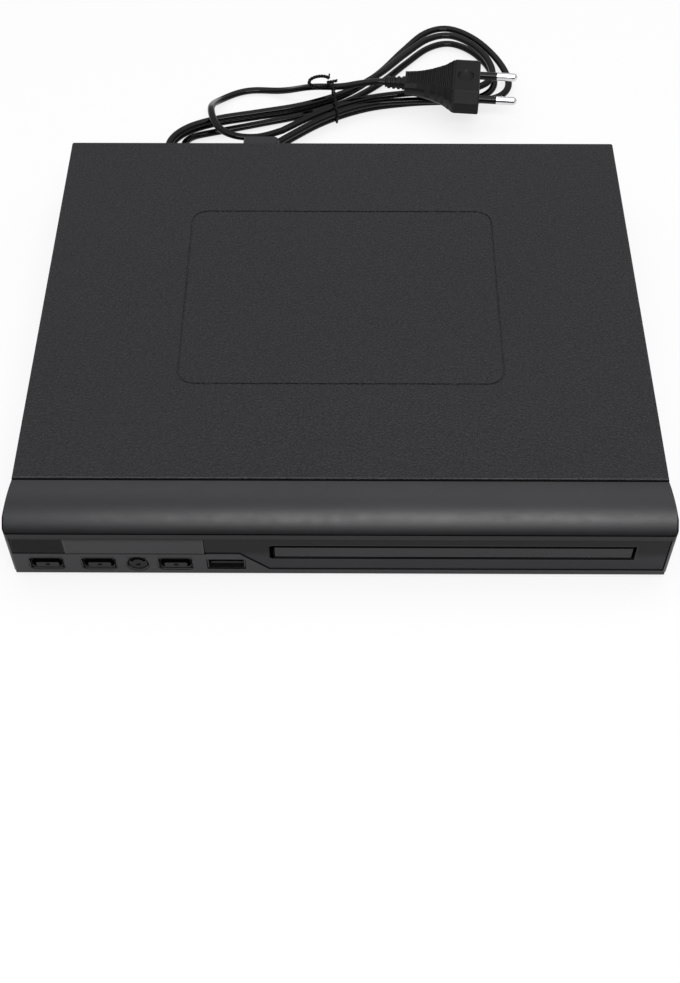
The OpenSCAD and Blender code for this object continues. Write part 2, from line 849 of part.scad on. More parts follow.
// Coloured collar and core of a jack: the barrel slides over the core
module jack_core(i) {
    difference() {
        union() {
            shaft_y([jack_x[i], main_y1, jack_z], jack_ring_r, jack_ring_t);
            shaft_y([jack_x[i], main_y1, jack_z], core_r, jack_out + board_back - jack_tip);
        }
        shaft_y([jack_x[i], back_y + jack_out - jack_tip - pin_bore_l, jack_z], pin_bore_r,
            pin_bore_l + over);
    }
}

module jack_yellow() { color("gold") jack_core(0); }

module jack_white() { color("white") jack_core(1); }

module jack_red() { color("red") jack_core(2); }

module jack_barrels() {
    color("silver") for (x = jack_x) difference() {
        shaft_y([x, main_y1 + jack_ring_t, jack_z], barrel_r, jack_out + board_back - jack_ring_t);
        shaft_y([x, main_y1 + jack_ring_t - over, jack_z], barrel_bore_r, jack_out + board_back + over);
    }
}

module key_board() {
    color("#8a6a35") difference() {
        block([key_x0, key_y, key_z0], [key_x1 - key_x0, key_t, key_z1 - key_z0]);
        block([usb_x - usb_w / 2 - fit, key_y - over, usb_z - usb_h / 2 - fit],
            [usb_w + 2 * fit, key_t + 2 * over, usb_h + 2 * fit]);
    }
}

module tact_switches() {
    color("#1d1d1d") for (x = concat(button_xs, [round_x])) difference() {
        block([x - switch_w / 2, key_y - switch_l, button_z - switch_w / 2], [switch_w, switch_l,
            switch_w]);
        shaft_y([x, key_y - switch_l - over, button_z], button_stem_r + fit, switch_l / 2 + over);
    }
}

module infrared_receiver() {
    x = window_x0 + window_w / 2;
    r = 2.4;
    color("#231a2b") {
        block([x - 1.2 * r, key_y - 2 * r, band_z + r / 3], [2.4 * r, 2 * r, 2.4 * r]);
        translate([x, key_y - 2 * r, band_z + 1.4 * r]) sphere(r = r * 0.9);
    }
}

module usb_port() {
    y0 = front_y + panel_set;
    color("silver") difference() {
        block([usb_x - usb_w / 2, y0, usb_z - usb_h / 2], [usb_w, usb_l, usb_h]);
        block([usb_x - usb_w / 2 + usb_t, y0 - over, usb_z - usb_h / 2 + usb_t],
            [usb_w - 2 * usb_t, usb_l + over - usb_l * 0.2, usb_h - 2 * usb_t]);
    }
    color("#e8e8e4") block([usb_x - usb_tongue_w / 2, y0 + usb_l * 0.8 - usb_tongue_l,
        usb_z - usb_tongue_t / 4],
        [usb_tongue_w, usb_tongue_l, usb_tongue_t]);
}

ribbon_w = 14;
ribbon_t = 0.4;
ribbon_inset = 12;
ribbon_dip = 4;

module ribbon_cable() {
    x0 = main_x0 + ribbon_inset;
    y0 = key_y + key_t;
    y1 = main_y0 + board_inset;
    zt = board_top + can_h;
    color("#d9d6cc") {
        block([x0, y0, key_z1 - ribbon_dip], [ribbon_w, ribbon_t, zt - key_z1 + ribbon_dip]);
        block([x0, y0, zt], [ribbon_w, y1 - y0, ribbon_t]);
        block([x0, y1 - ribbon_t, board_top], [ribbon_w, ribbon_t, zt - board_top]);
    }
}

module board_screws() {
    color("silver") for (p = board_posts()) {
        post([p[0], p[1], board_top], screw_head_r * 0.8, screw_head_t * 0.8);
        post([p[0], p[1], board_top - screw_l * 0.8], post_bore_r - run, screw_l * 0.8);
    }
}

// The loader

bridge_y0 = disc_y - bridge_l / 2;
pillar_w = 3;

module loader_frame() {
    w = 2 * frame_x;
    l = frame_y1 - frame_y0;
    color("#3f4246") difference() {
        union() {
            block([tray_x - frame_x, frame_y0, floor_z], [w, l, frame_z + frame_t - floor_z]);
            for (s = [-1, 1]) {
                // Side wall, the ledge under the tray's edge and the lips over it
                block([tray_x + (s < 0 ? -frame_x : frame_x - frame_wall), frame_y0, floor_z],
                    [frame_wall, l, tray_top + fit + rail_t - floor_z]);
                block([tray_x + (s < 0 ? -frame_x : tray_w / 2 - tray_wall), frame_y0,
                    tray_z - fit - rail_t],
                    [frame_x - tray_w / 2 + tray_wall, l, rail_t]);
                for (y = [frame_y0, frame_y1 - vent_l])
                    block([tray_x + (s < 0 ? -frame_x : tray_w / 2 - over), y, tray_top + fit],
                        [frame_x - tray_w / 2 + over, vent_l, rail_t]);
                // Bridge pillar and the ear that holds the pivot
                block([tray_x + (s < 0 ? -frame_x : frame_x - pillar_w), bridge_y0, floor_z],
                    [pillar_w, bridge_l, bridge_z - floor_z]);
                block([tray_x + (s < 0 ? -ear_x - ear_t : ear_x), pivot_y - ear_t, floor_z],
                    [ear_t, 2 * ear_t, pivot_z + ear_t - floor_z]);
            }
            post([gear_x, gear_y, floor_z], axle_r, pinion_z + pinion_t - floor_z - fit);
            post([pulley_x, pulley_y, floor_z], axle_r, wheel_z + wheel_t - floor_z);
            // Guide wall in front of the cam slider
            block([nose_x - cam_l / 2 - cam_travel, cam_y - fit - frame_t, floor_z],
                [cam_l + cam_travel, frame_t, cam_z + cam_h * 0.6 - floor_z]);
            // Shelf that carries the motor beside the tray
            block([motor_x - load_motor_r, motor_y - load_motor_r, pulley_z + pulley_t + fit],
                [tray_x - frame_x - motor_x + load_motor_r + over, 2 * load_motor_r, shelf_t]);
        }
        block([tray_x - window_x, cam_y - fit, floor_z - over],
            [2 * window_x, pivot_y - ear_t - fit - cam_y, frame_z + frame_t - floor_z + 2 * over]);
        shaft_x([tray_x - frame_x - over, pivot_y, pivot_z], pivot_r + run, 2 * (frame_x + over));
        post([motor_x, motor_y, pulley_z], shaft_r + fit, pulley_t + fit + shelf_t + over);
        block([tray_x - frame_x - over, motor_y - pulley_r, pulley_z - fit],
            [frame_wall + 2 * over, 1.6 * pulley_r, pulley_t + 2 * fit]);
    }
}

module clamp_bridge() {
    color("#b9bcc0") difference() {
        union() {
            block([tray_x - frame_x, bridge_y0, bridge_z], [2 * frame_x, bridge_l, bridge_t]);
            for (y = [bridge_y0, bridge_y0 + bridge_l - bridge_t])
                block([tray_x - frame_x + pillar_w, y, bridge_z], [2 * (frame_x - pillar_w), bridge_t,
                    3 * bridge_t]);
        }
        post([tray_x, disc_y, bridge_z - over], bridge_hole_r, bridge_t + 2 * over);
    }
}

module loading_motor() {
    z = pulley_z + pulley_t + fit + shelf_t;
    color("#c8cacc") {
        post([motor_x, motor_y, z], load_motor_r, load_motor_h);
        post([motor_x, motor_y, z + load_motor_h], load_motor_r / 3, over);
        post([motor_x, motor_y, pulley_z], shaft_r, z - pulley_z);
    }
}

// Closed outline of a belt round the two pulleys, a little outside their grooves
function belt_outline(extra) = let (dx = motor_x - pulley_x, dy = motor_y - pulley_y,
    dist = sqrt(dx * dx + dy * dy), dir = atan2(dy, dx),
    big = pulley_r + extra, small = motor_pulley_r + extra, lean = acos((big - small) / dist))
    concat([for (i = [0:16]) let (a = dir + lean + (turns_deg - 2 * lean) * i / 16)
            [pulley_x + big * cos(a), pulley_y + big * sin(a)]],
        [for (i = [0:10]) let (a = dir - lean + 2 * lean * i / 10)
            [motor_x + small * cos(a), motor_y + small * sin(a)]]);

module drive_belt() {
    color("#151515") translate([0, 0, pulley_z + (pulley_t - belt_h) / 2]) linear_extrude(belt_h
        ) difference() {
        polygon(belt_outline(belt_gap + belt_t));
        polygon(belt_outline(belt_gap));
    }
}

// Pulley with a groove for the belt, standing on a point
module pulley(at, r) {
    rim = (pulley_t - belt_h) / 2 - belt_gap / 2;
    post(at, r, pulley_t);
    for (z = [0, pulley_t - rim]) post([at[0], at[1], at[2] + z], r + belt_t + belt_gap, rim);
}

module motor_pulley() {
    color("#e6e2d6") difference() {
        pulley([motor_x, motor_y, pulley_z], motor_pulley_r);
        post([motor_x, motor_y, pulley_z - over], shaft_r + run, pulley_t + 2 * over);
    }
}

module pulley_gear() {
    color("#e6e2d6") difference() {
        union() {
            pulley([pulley_x, pulley_y, pulley_z], pulley_r);
            post([pulley_x, pulley_y, pulley_z], 2.2 * axle_r, wheel_z - pulley_z);
            translate([pulley_x, pulley_y, wheel_z]) rotate(pulley_phase) gear(pulley_teeth, wheel_t);
        }
        post([pulley_x, pulley_y, pulley_z - over], axle_r + run, wheel_z + wheel_t - pulley_z + 2 * over);
    }
}

// The wheel's tooth points at the pulley, so a gap of the pulley's pinion faces it
gear_aim = atan2(pulley_y - gear_y, pulley_x - gear_x);
pulley_phase = gear_aim + 180 + 180 / pulley_teeth;

module tray_gear() {
    color("#d8d3c4") difference() {
        union() {
            translate([gear_x, gear_y, wheel_z]) rotate(gear_aim) gear(wheel_teeth, wheel_t);
            post([gear_x, gear_y, wheel_z], pinion_r - gear_m * 1.1, pinion_z - wheel_z);
            translate([gear_x, gear_y, pinion_z]) rotate(180) gear(pinion_teeth, pinion_t);
        }
        post([gear_x, gear_y, wheel_z - over], axle_r + run, pinion_z + pinion_t - wheel_z + 2 * over);
    }
}

// The rack has a gap where the pinion has a tooth, at the gear's own place along the tray
rack_y0 = tray_y0 + 2 * tray_wall;
rack_spare = 2.4;
rack_y1 = gear_y + tray_travel + rack_spare;
rack_first = ceil((rack_y0 - gear_y) / pitch);
rack_last = floor((rack_y1 - gear_y) / pitch) - 1;

function rack_outline() = concat([[rack_x - rack_back, rack_y0]],
    [for (i = [rack_first:rack_last]) let (y = gear_y + (i + 0.5) * pitch)
        for (p = [[-1, -1], [-1, tip_share], [1, tip_share], [1, -1]])
            [rack_x + p[1] * gear_m, y + p[0] * (pitch / 4 - tooth_slack / 2
                - p[1] * gear_m * flank_share)]],
    [[rack_x - rack_back, rack_y1]]);

module disc_tray() {
    color("#1e1e20") difference() {
        union() {
            block([tray_x - tray_w / 2, tray_y0, recess_z - tray_skin], [tray_w, tray_l,
                tray_top - recess_z + tray_skin]);
            post([tray_x, disc_y, recess_z - tray_skin - small_depth], small_disc_d / 2 + tray_skin,
                tray_skin);
            for (s = [-1, 1]) block([tray_x + (s < 0 ? -tray_w / 2 : tray_w / 2 - tray_wall), tray_y0,
                tray_z],
                [tray_wall, tray_l, tray_h - over]);
            block([tray_x - tray_w / 2, tray_y0, tray_z], [tray_w, tray_wall, tray_h - over]);
            translate([0, 0, tray_z]) linear_extrude(recess_z - tray_skin - tray_z + over / 2)
                polygon(rack_outline());
        }
        post([tray_x, disc_y, recess_z], disc_d / 2, disc_depth + over);
        post([tray_x, disc_y, recess_z - small_depth], small_disc_d / 2, disc_depth);
        post([tray_x, disc_y, tray_z - over], tray_slot_r, tray_h + 2 * over);
        block([tray_x - tray_slot_r, disc_y, tray_z - over], [2 * tray_slot_r, tray_l, tray_h + 2 * over]);
        for (a = [205, 335]) post([tray_x + disc_d / 2 * cos(a), disc_y + disc_d / 2 * sin(a),
            recess_z - small_depth / 2],
            finger_r, tray_h);
    }
}

module tray_door() {
    color("#2b2c2e") {
        block([tray_x - door_w / 2, front_y + panel_set + door_set, slot_z - door_h / 2], [door_w,
            door_t, door_h]);
        block([tray_x - door_w / 2 + door_lip, front_y + panel_set + door_set - door_lip,
            slot_z - door_h / 2 + door_lip],
            [door_w - 2 * door_lip, door_lip, door_h - 2 * door_lip]);
    }
}

// Plate that slides sideways: its sloped slot lifts the nose of the mechanism
module cam_slider() {
    drop = (pivot_y - cam_y - cam_t / 2) * sin(drop_angle);
    half = (nose_r + nose_fit) / cos(atan(drop / cam_travel));
    end = nose_r + fit;
    color("#dcd7c8") difference() {
        block([nose_x - cam_l / 2, cam_y, cam_z], [cam_l, cam_t, cam_h]);
        prism_y(cam_y - over, cam_y + cam_t + over)
            polygon([[nose_x - end, nose_z - half], [nose_x, nose_z - half],
                [nose_x + cam_travel, nose_z - drop - half], [nose_x + cam_travel + end,
                    nose_z - drop - half],
                [nose_x + cam_travel + end, nose_z - drop + half], [nose_x + cam_travel,
                    nose_z - drop + half],
                [nose_x, nose_z + half], [nose_x - end, nose_z + half]]);
    }
}

// Steel plate that carries the spindle and the pickup and tips about its back edge
module traverse_plate() {
    tab_t = 1.4;
    lug = pivot_r + lug_wall;
    color("#a9adb2") difference() {
        union() {
            block([tray_x - plate_x, plate_y0, plate_z], [2 * plate_x, plate_y1 - plate_y0, plate_t]);
            for (s = [-1, 1]) {
                block([tray_x + (s < 0 ? -plate_x : plate_x - lug), pivot_y - lug, pivot_z - lug + fit],
                    [lug, 2 * lug, plate_z + plate_t - pivot_z + lug - fit]);
                shaft_x([tray_x + (s < 0 ? -plate_x - pivot_l : plate_x), pivot_y, pivot_z], pivot_r,
                    pivot_l);
            }
            shaft_y([nose_x, cam_y, nose_z], nose_r, plate_y0 - cam_y + over);
            block([tray_x + sled_x + fit, screw_y0, screw_z - screw_rod_r - fit],
                [plate_window_x - sled_x + tab_t, tab_t, plate_z - screw_z + screw_rod_r + fit]);
            block([tray_x + screw_x - feed_r, plate_y1 - tab_t, pivot_z - lug + fit],
                [2 * feed_r, tab_t, plate_z - pivot_z + lug]);
        }
        block([tray_x - plate_window_x, plate_window_y0, plate_z - over],
            [2 * plate_window_x, screw_y0 - plate_window_y0, plate_t + 2 * over]);
        block([tray_x - plate_window_x, screw_y0 - over / 2, plate_z - fit / 2],
            [plate_window_x + sled_x + fit / 2, plate_window_y1 - screw_y0 + over / 2, plate_t + 2 * over]);
        block([tray_x, screw_y0 + tab_t, plate_z - fit / 2],
            [plate_window_x, plate_window_y1 - screw_y0 - tab_t, plate_t + 2 * over]);
        shaft_y([tray_x + screw_x, screw_y0 - over, screw_z], screw_rod_r + run, tab_t + 2 * over);
        shaft_y([tray_x + screw_x, plate_window_y1, screw_z], screw_rod_r + run,
            plate_y1 - plate_window_y1 + over);
    }
}

module guide_rods() {
    color("#d5d8dc") for (s = [-1, 1]) difference() {
        shaft_y([tray_x + s * rod_x, plate_window_y0, rod_z], rod_r, plate_window_y1 - plate_window_y0);
        shaft_y([tray_x + s * rod_x, plate_window_y0 - over, rod_z], rod_r / 4, 2 * over);
    }
}

module spindle_motor() {
    color("#8f9398") difference() {
        union() {
            post([tray_x, disc_y, plate_z + plate_t], motor_r, motor_h * 0.3);
            post([tray_x, disc_y, plate_z + plate_t], motor_r * 0.9, motor_h);
        }
        post([tray_x, disc_y, plate_z + plate_t + motor_h * 0.2], shaft_r + run, motor_h);
    }
}

module feed_motor() {
    color("#c8cacc") difference() {
        union() {
            shaft_y([tray_x + screw_x, plate_y1, screw_z], feed_r, feed_l);
            shaft_y([tray_x + screw_x, plate_y1, screw_z], feed_r / 3, feed_l + over);
        }
        shaft_y([tray_x + screw_x, plate_y1 - over, screw_z], screw_rod_r + run, 3 * over);
    }
}

module turntable() {
    foot = table_top - mat_t - table_t;
    color("#2a2a2c") {
        difference() {
            post([tray_x, disc_y, foot], table_r, table_t);
            post([tray_x, disc_y, foot - over], shaft_r, table_t);
        }
        translate([tray_x, disc_y, foot + table_t])
            cylinder(r1 = cone_r, r2 = cone_r * 0.82, h = mat_t + cone_h);
        post([tray_x, disc_y, plate_z + plate_t + motor_h * 0.3], shaft_r,
            foot + table_t / 2 - plate_z - plate_t
            - motor_h * 0.3);
    }
}

module turntable_mat() {
    color("#151515") difference() {
        post([tray_x, disc_y, table_top - mat_t], table_r * 0.97, mat_t);
        post([tray_x, disc_y, table_top - mat_t - over], cone_r + 2 * fit, mat_t + 2 * over);
    }
}

module lead_screw() {
    color("#d5d8dc") shaft_y([tray_x + screw_x, screw_y0 - fit, screw_z], screw_rod_r,
        plate_y1 - screw_y0 + over + fit);
}

module pickup_sled() {
    nut_l = 6;
    nut_w = screw_x - sled_x + screw_rod_r + over;
    color("#6d7278") difference() {
        union() {
            block([tray_x - sled_x, sled_y0, sled_z], [2 * sled_x, sled_l, sled_h]);
            block([tray_x + sled_x - over, sled_y0 + sled_l - nut_l, screw_z - screw_rod_r - fit * 2],
                [nut_w + over, nut_l, 2 * screw_rod_r + 4 * fit]);
            block([tray_x - lens_block / 2, lens_y - lens_block / 2, sled_z + sled_h - over],
                [lens_block, lens_block, lens_top - sled_z - sled_h]);
        }
        for (s = [-1, 1]) shaft_y([tray_x + s * rod_x, sled_y0 - over, rod_z], rod_r + run,
            sled_l + 2 * over);
        shaft_y([tray_x + screw_x, sled_y0, screw_z], screw_rod_r + run, sled_l + over);
        for (s = [-1, 1]) block([tray_x + s * sled_x * 0.55 - over, sled_y0 + over, sled_z + sled_h / 2],
            [2 * over, sled_l - 2 * over, sled_h]);
    }
}

module pickup_lens() {
    color("#7da7c9") {
        post([tray_x, lens_y, lens_top - over], lens_r, over * 0.6);
        translate([tray_x, lens_y, lens_top - over * 0.4 - lens_r * 1.2]) intersection() {
            sphere(r = lens_r * 1.3);
            post([0, 0, lens_r * 1.2], lens_r * 0.7, lens_r);
        }
    }
}

module clamper() {
    z1 = bridge_z + bridge_t + fit;
    color("#e3e0d6") difference() {
        union() {
            post([tray_x, disc_y, clamper_z], clamper_face_r, clamper_face_t);
            post([tray_x, disc_y, clamper_z], clamper_r, z1 - clamper_z + clamper_flange_t);
            post([tray_x, disc_y, z1], clamper_flange_r, clamper_flange_t);
        }
        post([tray_x, disc_y, clamper_z - over], clamper_cup_r, clamper_cup_h + over);
        for (a = [0:60:300]) post([tray_x + clamper_r * 0.6 * cos(a), disc_y + clamper_r * 0.6 * sin(a),
            z1 + clamper_flange_t / 2], clamper_r * 0.12, clamper_flange_t);
    }
}

// The buttons

module button_rest(x) {
    y = front_y + bezel_t + fit;
    shaft_y([x, y, button_z], button_stem_r, key_y - switch_l + button_travel / 2 - y);
    block([x - button_tick_w / 2, front_y + button_set - button_tick_t, button_z - button_h * 0.36],
        [button_tick_w, button_tick_t + over, button_tick_h]);
}

module long_button_solid(x) {
    y = front_y + bezel_t + fit;
    prism_y(front_y + button_set, y) long_button(x, 0);
    prism_y(y, y + button_flange_t) long_button(x, button_flange);
    button_rest(x);
}

module power_button() { color("#3b3c3e") long_button_solid(button_xs[0]); }

module left_button() { color("#3b3c3e") long_button_solid(button_xs[1]); }

module right_button() { color("#3b3c3e") long_button_solid(button_xs[2]); }

module round_button() {
    y = front_y + bezel_t + fit;
    color("#3b3c3e") {
        shaft_y([round_x, front_y + button_set, button_z], round_r, bezel_t + fit - button_set);
        block([round_x - round_r - button_flange, y, button_z - round_r * 0.8],
            [2 * (round_r + button_flange), button_flange_t, 1.6 * round_r]);
        button_rest(round_x);
    }
}

// The lead

function unit(v) = v / norm(v);

// Direction of a path at one of its points
function heading(path, i) = unit(path[min(i + 1, len(path) - 1)] - path[max(i - 1, 0)]);

// Closed tube of even radius along a path
module tube(path, r, sides) {
    n = len(path);
    points = [for (i = [0:n - 1]) let (t = heading(path, i), side = unit(cross(t, [0, 0, 1])),
        up = cross(side, t)) for (j = [0:sides - 1]) let (a = turns_deg * j / sides)
        path[i] + r * (cos(a) * side + sin(a) * up)];
    faces = concat([[for (j = [0:sides - 1]) sides - 1 - j]],
        [for (i = [0:n - 2]) for (j = [0:sides - 1]) let (a = i * sides + j,
            b = i * sides + (j + 1) % sides) each [[a, b, b + sides], [a, b + sides, a + sides]]],
        [[for (j = [0:sides - 1]) (n - 1) * sides + j]]);
    polyhedron(points = points, faces = faces, convexity = 10);
}

// One point of the hank: loops spiral out on the lower layer and back in on the upper one
function hank_point(t) = let (phi = 180 - turns_deg * (t + hank_start_share), c = cos(phi), s = sin(phi),
    k = min(t, hank_turns - t), u = (hank_u + hank_step * hank_end_share * k) * c,
    v = s * (hank_waist + hank_step * k + (hank_bulge + hank_spread * k) * (1 + hank_skew_share * c
        ) * c * c),
    climb = min(1, max(0, 0.5 + 2 * t - hank_turns)))
    lead_at + [hank_c[0] + u * cos(hank_angle) - v * sin(hank_angle),
        hank_c[1] + u * sin(hank_angle) + v * cos(hank_angle),
        lead_d / 2 + tie_t + hank_layer * climb];

hank_count = round(hank_turns * hank_rings);
function hank_path(fine = 1) = [for (i = [0:hank_count * fine]
    ) hank_point(hank_turns * i / hank_count / fine)];

// Least distance between stretches of the hank that are not neighbours along it, less the diameter
hank_fine = hank_path(4);
hank_apart = 16;
hank_gap = min([for (i = [0:len(hank_fine) - 1]) for (j = [i + hank_apart:len(hank_fine) - 1])
    norm(hank_fine[i] - hank_fine[j])]) - lead_d;
echo(hank_gap = hank_gap);

relief_at = [inlet_x - conn_w / 2, back_y + inlet_flange + plug_gap + relief_y, inlet_z];
relief_dir = [-cos(relief_turn) * cos(relief_tilt), sin(relief_turn) * cos(relief_tilt), -sin(relief_tilt)];
relief_end = relief_at + relief_l * relief_dir;
plug_dir = [cos(plug_turn), sin(plug_turn), 0];
plug_relief_end = plug_place - (plug_taper_l + plug_relief_l) * plug_dir;
hank_dirs = [for (i = [0, hank_count]) heading(hank_path(), i)];

// The lead leaves each piece that it meets straight, square to the face
lead_path = concat([relief_end, relief_end + lead_straight * relief_dir],
    [for (p = lead_points) lead_at + p],
    [hank_point(0) - lead_straight * hank_dirs[0], hank_point(0)]);
tail_path = concat([hank_point(hank_turns), hank_point(hank_turns) + lead_straight * hank_dirs[1]],
    [for (p = tail_points) lead_at + p], [plug_relief_end - lead_straight * plug_dir, plug_relief_end]);

// Tapered strain relief with ribs, along +X from the origin
module ribbed_relief(l, r, ribs) {
    rotate([0, 90, 0]) {
        cylinder(r1 = r[0], r2 = r[1], h = l);
        for (i = [0:ribs - 1]) let (f = (i + 0.5) / ribs)
            translate([0, 0, l * f - l / ribs / 4])
                cylinder(r = r[0] + (r[1] - r[0]) * f + rib_rise, h = l / ribs / 2);
    }
}

module cord_connector() {
    y0 = back_y + inlet_flange + plug_gap;
    color("#1c1c1e") {
        difference() {
            prism_y(y0 - plug_gap - nose_l, y0 + over) lobes(inlet_hole_r - nose_gap);
            for (s = [-1, 1]) shaft_y([inlet_x + s * inlet_pitch / 2, y0 - nose_l - 2 * over, inlet_z],
                inlet_pin_r + fit, nose_l + 2 * over);
        }
        prism_y(y0, y0 + conn_l) translate([inlet_x, inlet_z]) polygon(round_rect(conn_w, conn_h,
            conn_round));
        translate(relief_at) rotate([0, relief_tilt, 180 - relief_turn]) translate([-over, 0, 0])
            ribbed_relief(relief_l + over, relief_r, relief_ribs);
    }
}

module cord_lead() { color("#161618") tube(lead_path, lead_d / 2, lead_sides); }

module cord_hank() { color("#161618") tube(hank_path(), lead_d / 2, hank_sides); }

module cord_tail() { color("#161618") tube(tail_path, lead_d / 2, lead_sides); }

// Tie round the waist of the hank, with its ends twisted together
module cord_tie() {
    w = 2 * (hank_waist + hank_step * hank_turns / 2 + lead_d / 2 + fit) / cos(hank_angle - tie_turn);
    h = tie_t * 2 + 3 * hank_layer + fit;
    color("#111111") translate(lead_at + [hank_c[0], hank_c[1], 0]) rotate(tie_turn) {
        prism_x(-tie_w / 2, tie_w / 2) translate([0, h / 2]) difference() {
            polygon(round_rect(w + 2 * tie_t, h, 3 * tie_t));
            polygon(round_rect(w, h - 2 * tie_t, 2 * tie_t));
        }
        translate([0, w / 2, h - 2 * tie_t]) rotate([0, -tie_lift, 0]) cylinder(r = tie_t, h = tie_tail);
    }
}

// Plug outlines along +X: from its neck to the face that carries the pins
function plug_plan() = let (w = plug_w / 2, n = plug_neck_w / 2, steps = 8)
    concat([for (i = [0:steps]) let (f = i / steps) [-plug_taper_l * (1 - f), n + (w - n) * f * f]],
        [[plug_l, w], [plug_l, -w]],
        [for (i = [0:steps]) let (f = 1 - i / steps) [-plug_taper_l * (1 - f), -n - (w - n) * f * f]]);

module plug_body() {
    t = plug_t / 2;
    n = plug_neck_t / 2;
    rib_pitch = plug_taper_l / plug_ribs;
    color("#1b1b1d") translate(plug_place) rotate(plug_turn) {
        difference() {
            intersection() {
                translate([0, 0, -t]) linear_extrude(plug_t) polygon(plug_plan());
                translate([0, plug_w, 0]) rotate([90, 0, 0]) linear_extrude(2 * plug_w)
                    polygon([[-plug_taper_l, -n], [-rib_pitch, -t], [plug_l, -t], [plug_l, t],
                        [-rib_pitch, t],
                        [-plug_taper_l, n]]);
            }
            for (i = [1:plug_ribs - 1]) for (s = [-1, 1])
                let (x = -plug_taper_l + i * rib_pitch, z = n + (t - n) * i / plug_ribs)
                    block([x, -plug_w, s > 0 ? z - rib_pitch / 3 : -z - t],
                        [rib_pitch / 3, 2 * plug_w, t + rib_pitch / 3]);
            translate([plug_l / 3, 0, t - plug_dimple_h]) cylinder(r = plug_dimple_r, h = plug_t);
            for (s = [-1, 1]) translate([plug_l / 2, s * plug_pin_pitch / 2, 0]) rotate([0, 90, 0])
                cylinder(r = plug_pin_r * 0.8, h = plug_l);
        }
        translate([-plug_taper_l + over, 0, 0]) rotate(180)
            ribbed_relief(plug_relief_l + over, plug_relief_r, plug_relief_ribs);
    }
}

module plug_pins() {
    color("silver") translate(plug_place) rotate(plug_turn) for (s = [-1, 1])
        translate([plug_l, s * plug_pin_pitch / 2, 0]) rotate([0, 90, 0]) {
            cylinder(r = plug_pin_r, h = plug_pin_l);
            translate([0, 0, -plug_l / 2]) cylinder(r = plug_pin_r * 0.8, h = plug_l / 2);
        }
}

bottom_chassis();
rear_panel();
top_cover();
front_bezel();
front_panel();
receiver_window();
rubber_feet();
case_screws();
main_board();
board_chips();
board_capacitors();
power_board();
transformer();
power_capacitors();
fuse();
heat_sink();
power_inlet();
inlet_pins();
jack_block();
jack_yellow();
jack_white();
jack_red();
jack_barrels();
key_board();
tact_switches();
infrared_receiver();
usb_port();
ribbon_cable();
loader_frame();
clamp_bridge();
loading_motor();
drive_belt();
disc_tray();
tray_door();
motor_pulley();
pulley_gear();
tray_gear();
cam_slider();
traverse_plate();
guide_rods();
spindle_motor();
feed_motor();
turntable();
turntable_mat();
lead_screw();
pickup_sled();
pickup_lens();
clamper();
power_button();
left_button();
round_button();
right_button();
board_screws();
cord_connector();
cord_lead();
cord_hank();
cord_tail();
cord_tie();
plug_body();
plug_pins();
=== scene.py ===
# Dresses the compact disc player: camera, lead, materials, small fittings, floor and light.
# Lengths are in millimetres and MM turns them into metres, unless a comment says metres.
import bpy
import bmesh
from math import cos, sin, pi, radians, sqrt
from mathutils import Matrix, Vector


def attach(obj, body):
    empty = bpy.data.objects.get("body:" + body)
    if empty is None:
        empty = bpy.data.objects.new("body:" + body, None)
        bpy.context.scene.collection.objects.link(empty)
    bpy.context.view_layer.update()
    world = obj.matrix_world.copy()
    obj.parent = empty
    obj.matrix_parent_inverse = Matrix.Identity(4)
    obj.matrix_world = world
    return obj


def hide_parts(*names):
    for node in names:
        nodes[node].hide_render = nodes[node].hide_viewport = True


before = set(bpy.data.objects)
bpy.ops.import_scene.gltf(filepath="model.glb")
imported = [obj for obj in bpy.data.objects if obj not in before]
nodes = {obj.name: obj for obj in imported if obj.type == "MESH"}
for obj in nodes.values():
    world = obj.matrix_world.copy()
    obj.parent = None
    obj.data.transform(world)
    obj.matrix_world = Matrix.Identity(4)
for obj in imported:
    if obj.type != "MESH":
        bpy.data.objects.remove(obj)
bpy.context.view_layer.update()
MM = 0.001
UP = Vector((0, 0, 1))


# ---------------------------------------------------------------- camera
CAMERA_AT = (1.96, -417.35, 461.85)
YAW, PITCH, ROLL = radians(-0.357), radians(53.09), radians(-0.090)
FOCAL_PIXELS = 1410.95
PHOTO_HEIGHT = 983    # pixels; the frame is taller than wide, so the sensor's size is its height
SENSOR = 36


def add_camera():
    ahead = Vector((sin(YAW) * cos(PITCH), cos(YAW) * cos(PITCH), -sin(PITCH)))
    level = Vector((cos(YAW), -sin(YAW), 0))
    upright = level.cross(ahead)
    right = level * cos(ROLL) + upright * sin(ROLL)
    up = -level * sin(ROLL) + upright * cos(ROLL)
    data = bpy.data.cameras.new("camera")
    data.sensor_width = SENSOR
    data.lens = FOCAL_PIXELS / PHOTO_HEIGHT * SENSOR
    data.clip_start = 0.01
    data.clip_end = 20
    cam = bpy.data.objects.new("camera", data)
    stand = Matrix((right, up, -ahead)).transposed().to_4x4()
    stand.translation = Vector(CAMERA_AT) * MM
    cam.matrix_world = stand
    bpy.context.scene.collection.objects.link(cam)
    bpy.context.scene.camera = cam


add_camera()


# ---------------------------------------------------------------- mesh helpers
BOX_FACES = ((0, 1, 3, 2), (4, 6, 7, 5), (0, 4, 5, 1), (2, 3, 7, 6), (0, 2, 6, 4), (1, 5, 7, 3))
BEVEL_SEGMENTS = 2
BEVEL_ANGLE = radians(40)


def link(name, mesh, body, smooth):
    """Adds a piece that rides on a body; smooth is the sharpest rounded angle in degrees."""
    obj = bpy.data.objects.new(name, mesh)
    bpy.context.scene.collection.objects.link(obj)
    if smooth is not None:
        for p in mesh.polygons:
            p.use_smooth = True
        mesh.set_sharp_from_angle(angle=radians(smooth))
    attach(obj, body)
    return obj


def from_bm(bm, name, body, smooth=35):
    bmesh.ops.recalc_face_normals(bm, faces=bm.faces)
    mesh = bpy.data.meshes.new(name)
    bm.to_mesh(mesh)
    bm.free()
    return link(name, mesh, body, smooth)


